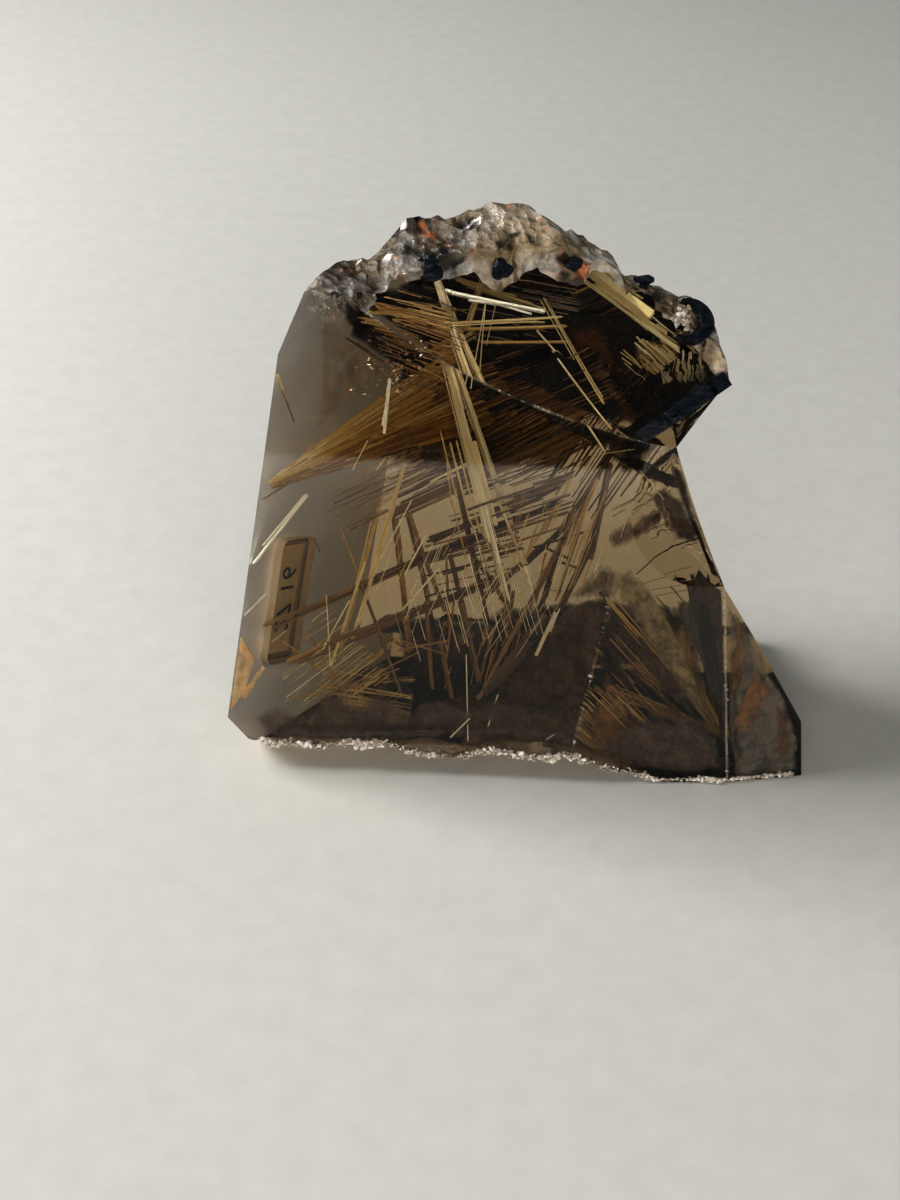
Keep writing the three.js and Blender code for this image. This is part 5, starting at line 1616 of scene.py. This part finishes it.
label_up = (left_top - left_foot).normalized()
label_side = label_up.cross(label_face.normal)
label_place = label_face.at(LABEL["x"], LABEL["z"])
label_place += label_face.normal * (LABEL["thickness"] / 2 - LABEL["sunk"]) * MM
label_turn = basis(label_side, label_up, label_face.normal)
label_frame = Matrix.Translation(label_place) @ label_turn @ Matrix.Scale(MM, 4)
label.data.transform(label_frame)
print("label", len(label.data.polygons), "faces")

# %% Paper
PAPER_THROUGH = (0.68, 0.57, 0.4, 1)
paper = Finish("label_paper")
fibrous = paper.noise(0.0009, 5.0, 0.65)
stains = paper.noise(0.006, 3.0, 0.5)
on_label = paper.node("Mapping", {"vector_type": "TEXTURE"}, {
    "Vector": paper.place, "Location": label_frame.to_translation(), "Rotation": label_frame.to_euler(),
    "Scale": (MM, MM, MM)})
over_width = abs(paper.along("X", on_label)) - (LABEL["width"] / 2 - LABEL["corner"])
over_height = abs(paper.along("Y", on_label)) - (LABEL["height"] / 2 - LABEL["corner"])
beyond = paper.node("CombineXYZ", {}, {0: over_width.larger(0.0), 1: over_height.larger(0.0)})
from_edge = paper.node("VectorMath", {"operation": "LENGTH"}, {0: beyond}, out="Value")
from_edge = from_edge + over_width.larger(over_height).smaller(0.0) - LABEL["corner"]
border = 1 - abs(from_edge + LABEL["margin"]).over(LABEL["line"] / 2, LABEL["line"])
paper_colour = paper.ramp(stains * 0.6 + fibrous * 0.4, [
    (0.3, (0.5, 0.4, 0.27)), (0.5, (0.68, 0.57, 0.4)), (0.7, (0.8, 0.71, 0.54))])
paper_colour = paper.blend(border * LABEL["ink"], paper_colour, (0.03, 0.022, 0.016))
sheet_of_paper = paper.principled(
    Base_Color=paper_colour, Roughness=0.8, Normal=paper.bump(fibrous, 0.0001, 0.5))
paper.surface(paper.mix_shaders(
    LABEL["lets_through"] * (1 - border * LABEL["ink"]), sheet_of_paper,
    paper.node("BsdfTranslucent", {}, {"Color": PAPER_THROUGH})))
dress(label, paper, "label_paper", "paper_label")
print("border", LABEL["line"], "mm wide")

# %% The number
NUMBER = {"text": "27 16", "size": 4.4, "stand": 0.05}
number = added("label_number", bpy.ops.object.text_add)
number.data.body = NUMBER["text"]
number.data.size = NUMBER["size"]
number.data.align_x, number.data.align_y = "CENTER", "CENTER"
number.data.extrude = LABEL["thickness"] / 2 + NUMBER["stand"]
number.data.resolution_u = 3
bpy.ops.object.convert(target="MESH")
number = bpy.context.object
number.data.transform(label_frame @ Matrix.Rotation(math.pi / 2, 4, "Z"))
ink = Finish("black_ink")
ink.surface(ink.principled(Base_Color=(0.02, 0.016, 0.014, 1), Roughness=0.6 + ink.noise(0.0006) * 0.2))
dress(number, ink, "label_paper")
print("number", len(number.data.polygons), "faces")

# %% [markdown]
# ## Stage, light and camera
#
# The stone stands on a plain pale floor. Most of its light comes from a soft lamp at the left and
# back, which shines through it. A weaker one fills the front; mirrors don't see it, or its image
# would lie as a white patch over the flat front face.

# %% Stage
FLOOR_WIDTH = 3.0
floor = added("floor", bpy.ops.mesh.primitive_plane_add, size=FLOOR_WIDTH)
floor_finish = Finish("floor_pale")
speckle = floor_finish.noise(0.004, 3.0, 0.5)
floor_finish.surface(floor_finish.principled(
    Base_Color=floor_finish.ramp(speckle, [(0.3, (0.58, 0.565, 0.53)), (0.7, (0.61, 0.595, 0.56))]),
    Roughness=0.9))
floor.data.materials.append(floor_finish.material)
print("floor", FLOOR_WIDTH, "m wide")

# %% Light
def lamp(name, place, target, size, watts, tint):
    light = bpy.data.lights.new(name, "AREA")
    light.shape = "RECTANGLE"
    light.size, light.size_y = size
    light.energy = watts
    light.color = tint
    piece = linked(name, light)
    piece.location = place
    piece.rotation_euler = (Vector(target) - Vector(place)).to_track_quat("-Z", "Y").to_euler()
    return piece


WORLD_COLOUR = (0.92, 1.0, 1.0, 1)
WORLD_STRENGTH = 0.13
lamp("key_left_back", place=(-0.55, 0.16, 0.42), target=(0, 0, 0.03), size=(0.36, 0.36), watts=4.65,
     tint=(1.0, 1.0, 0.99))
front_lamp = lamp("front_low", place=(0.05, -0.75, 0.2), target=(0, 0, 0.035), size=(0.7, 0.3), watts=4.2,
                  tint=(1.0, 0.97, 0.92))
front_lamp.visible_glossy = False
world = bpy.data.worlds.new("studio")
world.use_nodes = True
sky = world.node_tree.nodes["Background"]
sky.inputs["Color"].default_value = WORLD_COLOUR
sky.inputs["Strength"].default_value = WORLD_STRENGTH
bpy.context.scene.world = world
print("lamps", len(bpy.data.lights))

# %% Camera
CAMERA_PLACE = Vector((-9.183, -207.470, 159.737)) * MM
CAMERA_DOWN = math.radians(35)
LENS_MM = 52.98
SENSOR_MM = 36
camera_data = bpy.data.cameras.new("camera")
camera_data.sensor_fit = "VERTICAL"
camera_data.sensor_height = SENSOR_MM
camera_data.lens = LENS_MM
camera_data.clip_start = 10 * MM
camera_data.dof.use_dof = False
camera = linked("camera", camera_data)
camera.location = CAMERA_PLACE
camera.rotation_euler = (math.pi / 2 - CAMERA_DOWN, 0, 0)
bpy.context.scene.camera = camera
bpy.context.scene.view_settings.view_transform = "Standard"
bpy.context.scene.view_settings.look = "High Contrast"
print("camera", round(CAMERA_PLACE.length / MM), "mm from the middle of the floor")
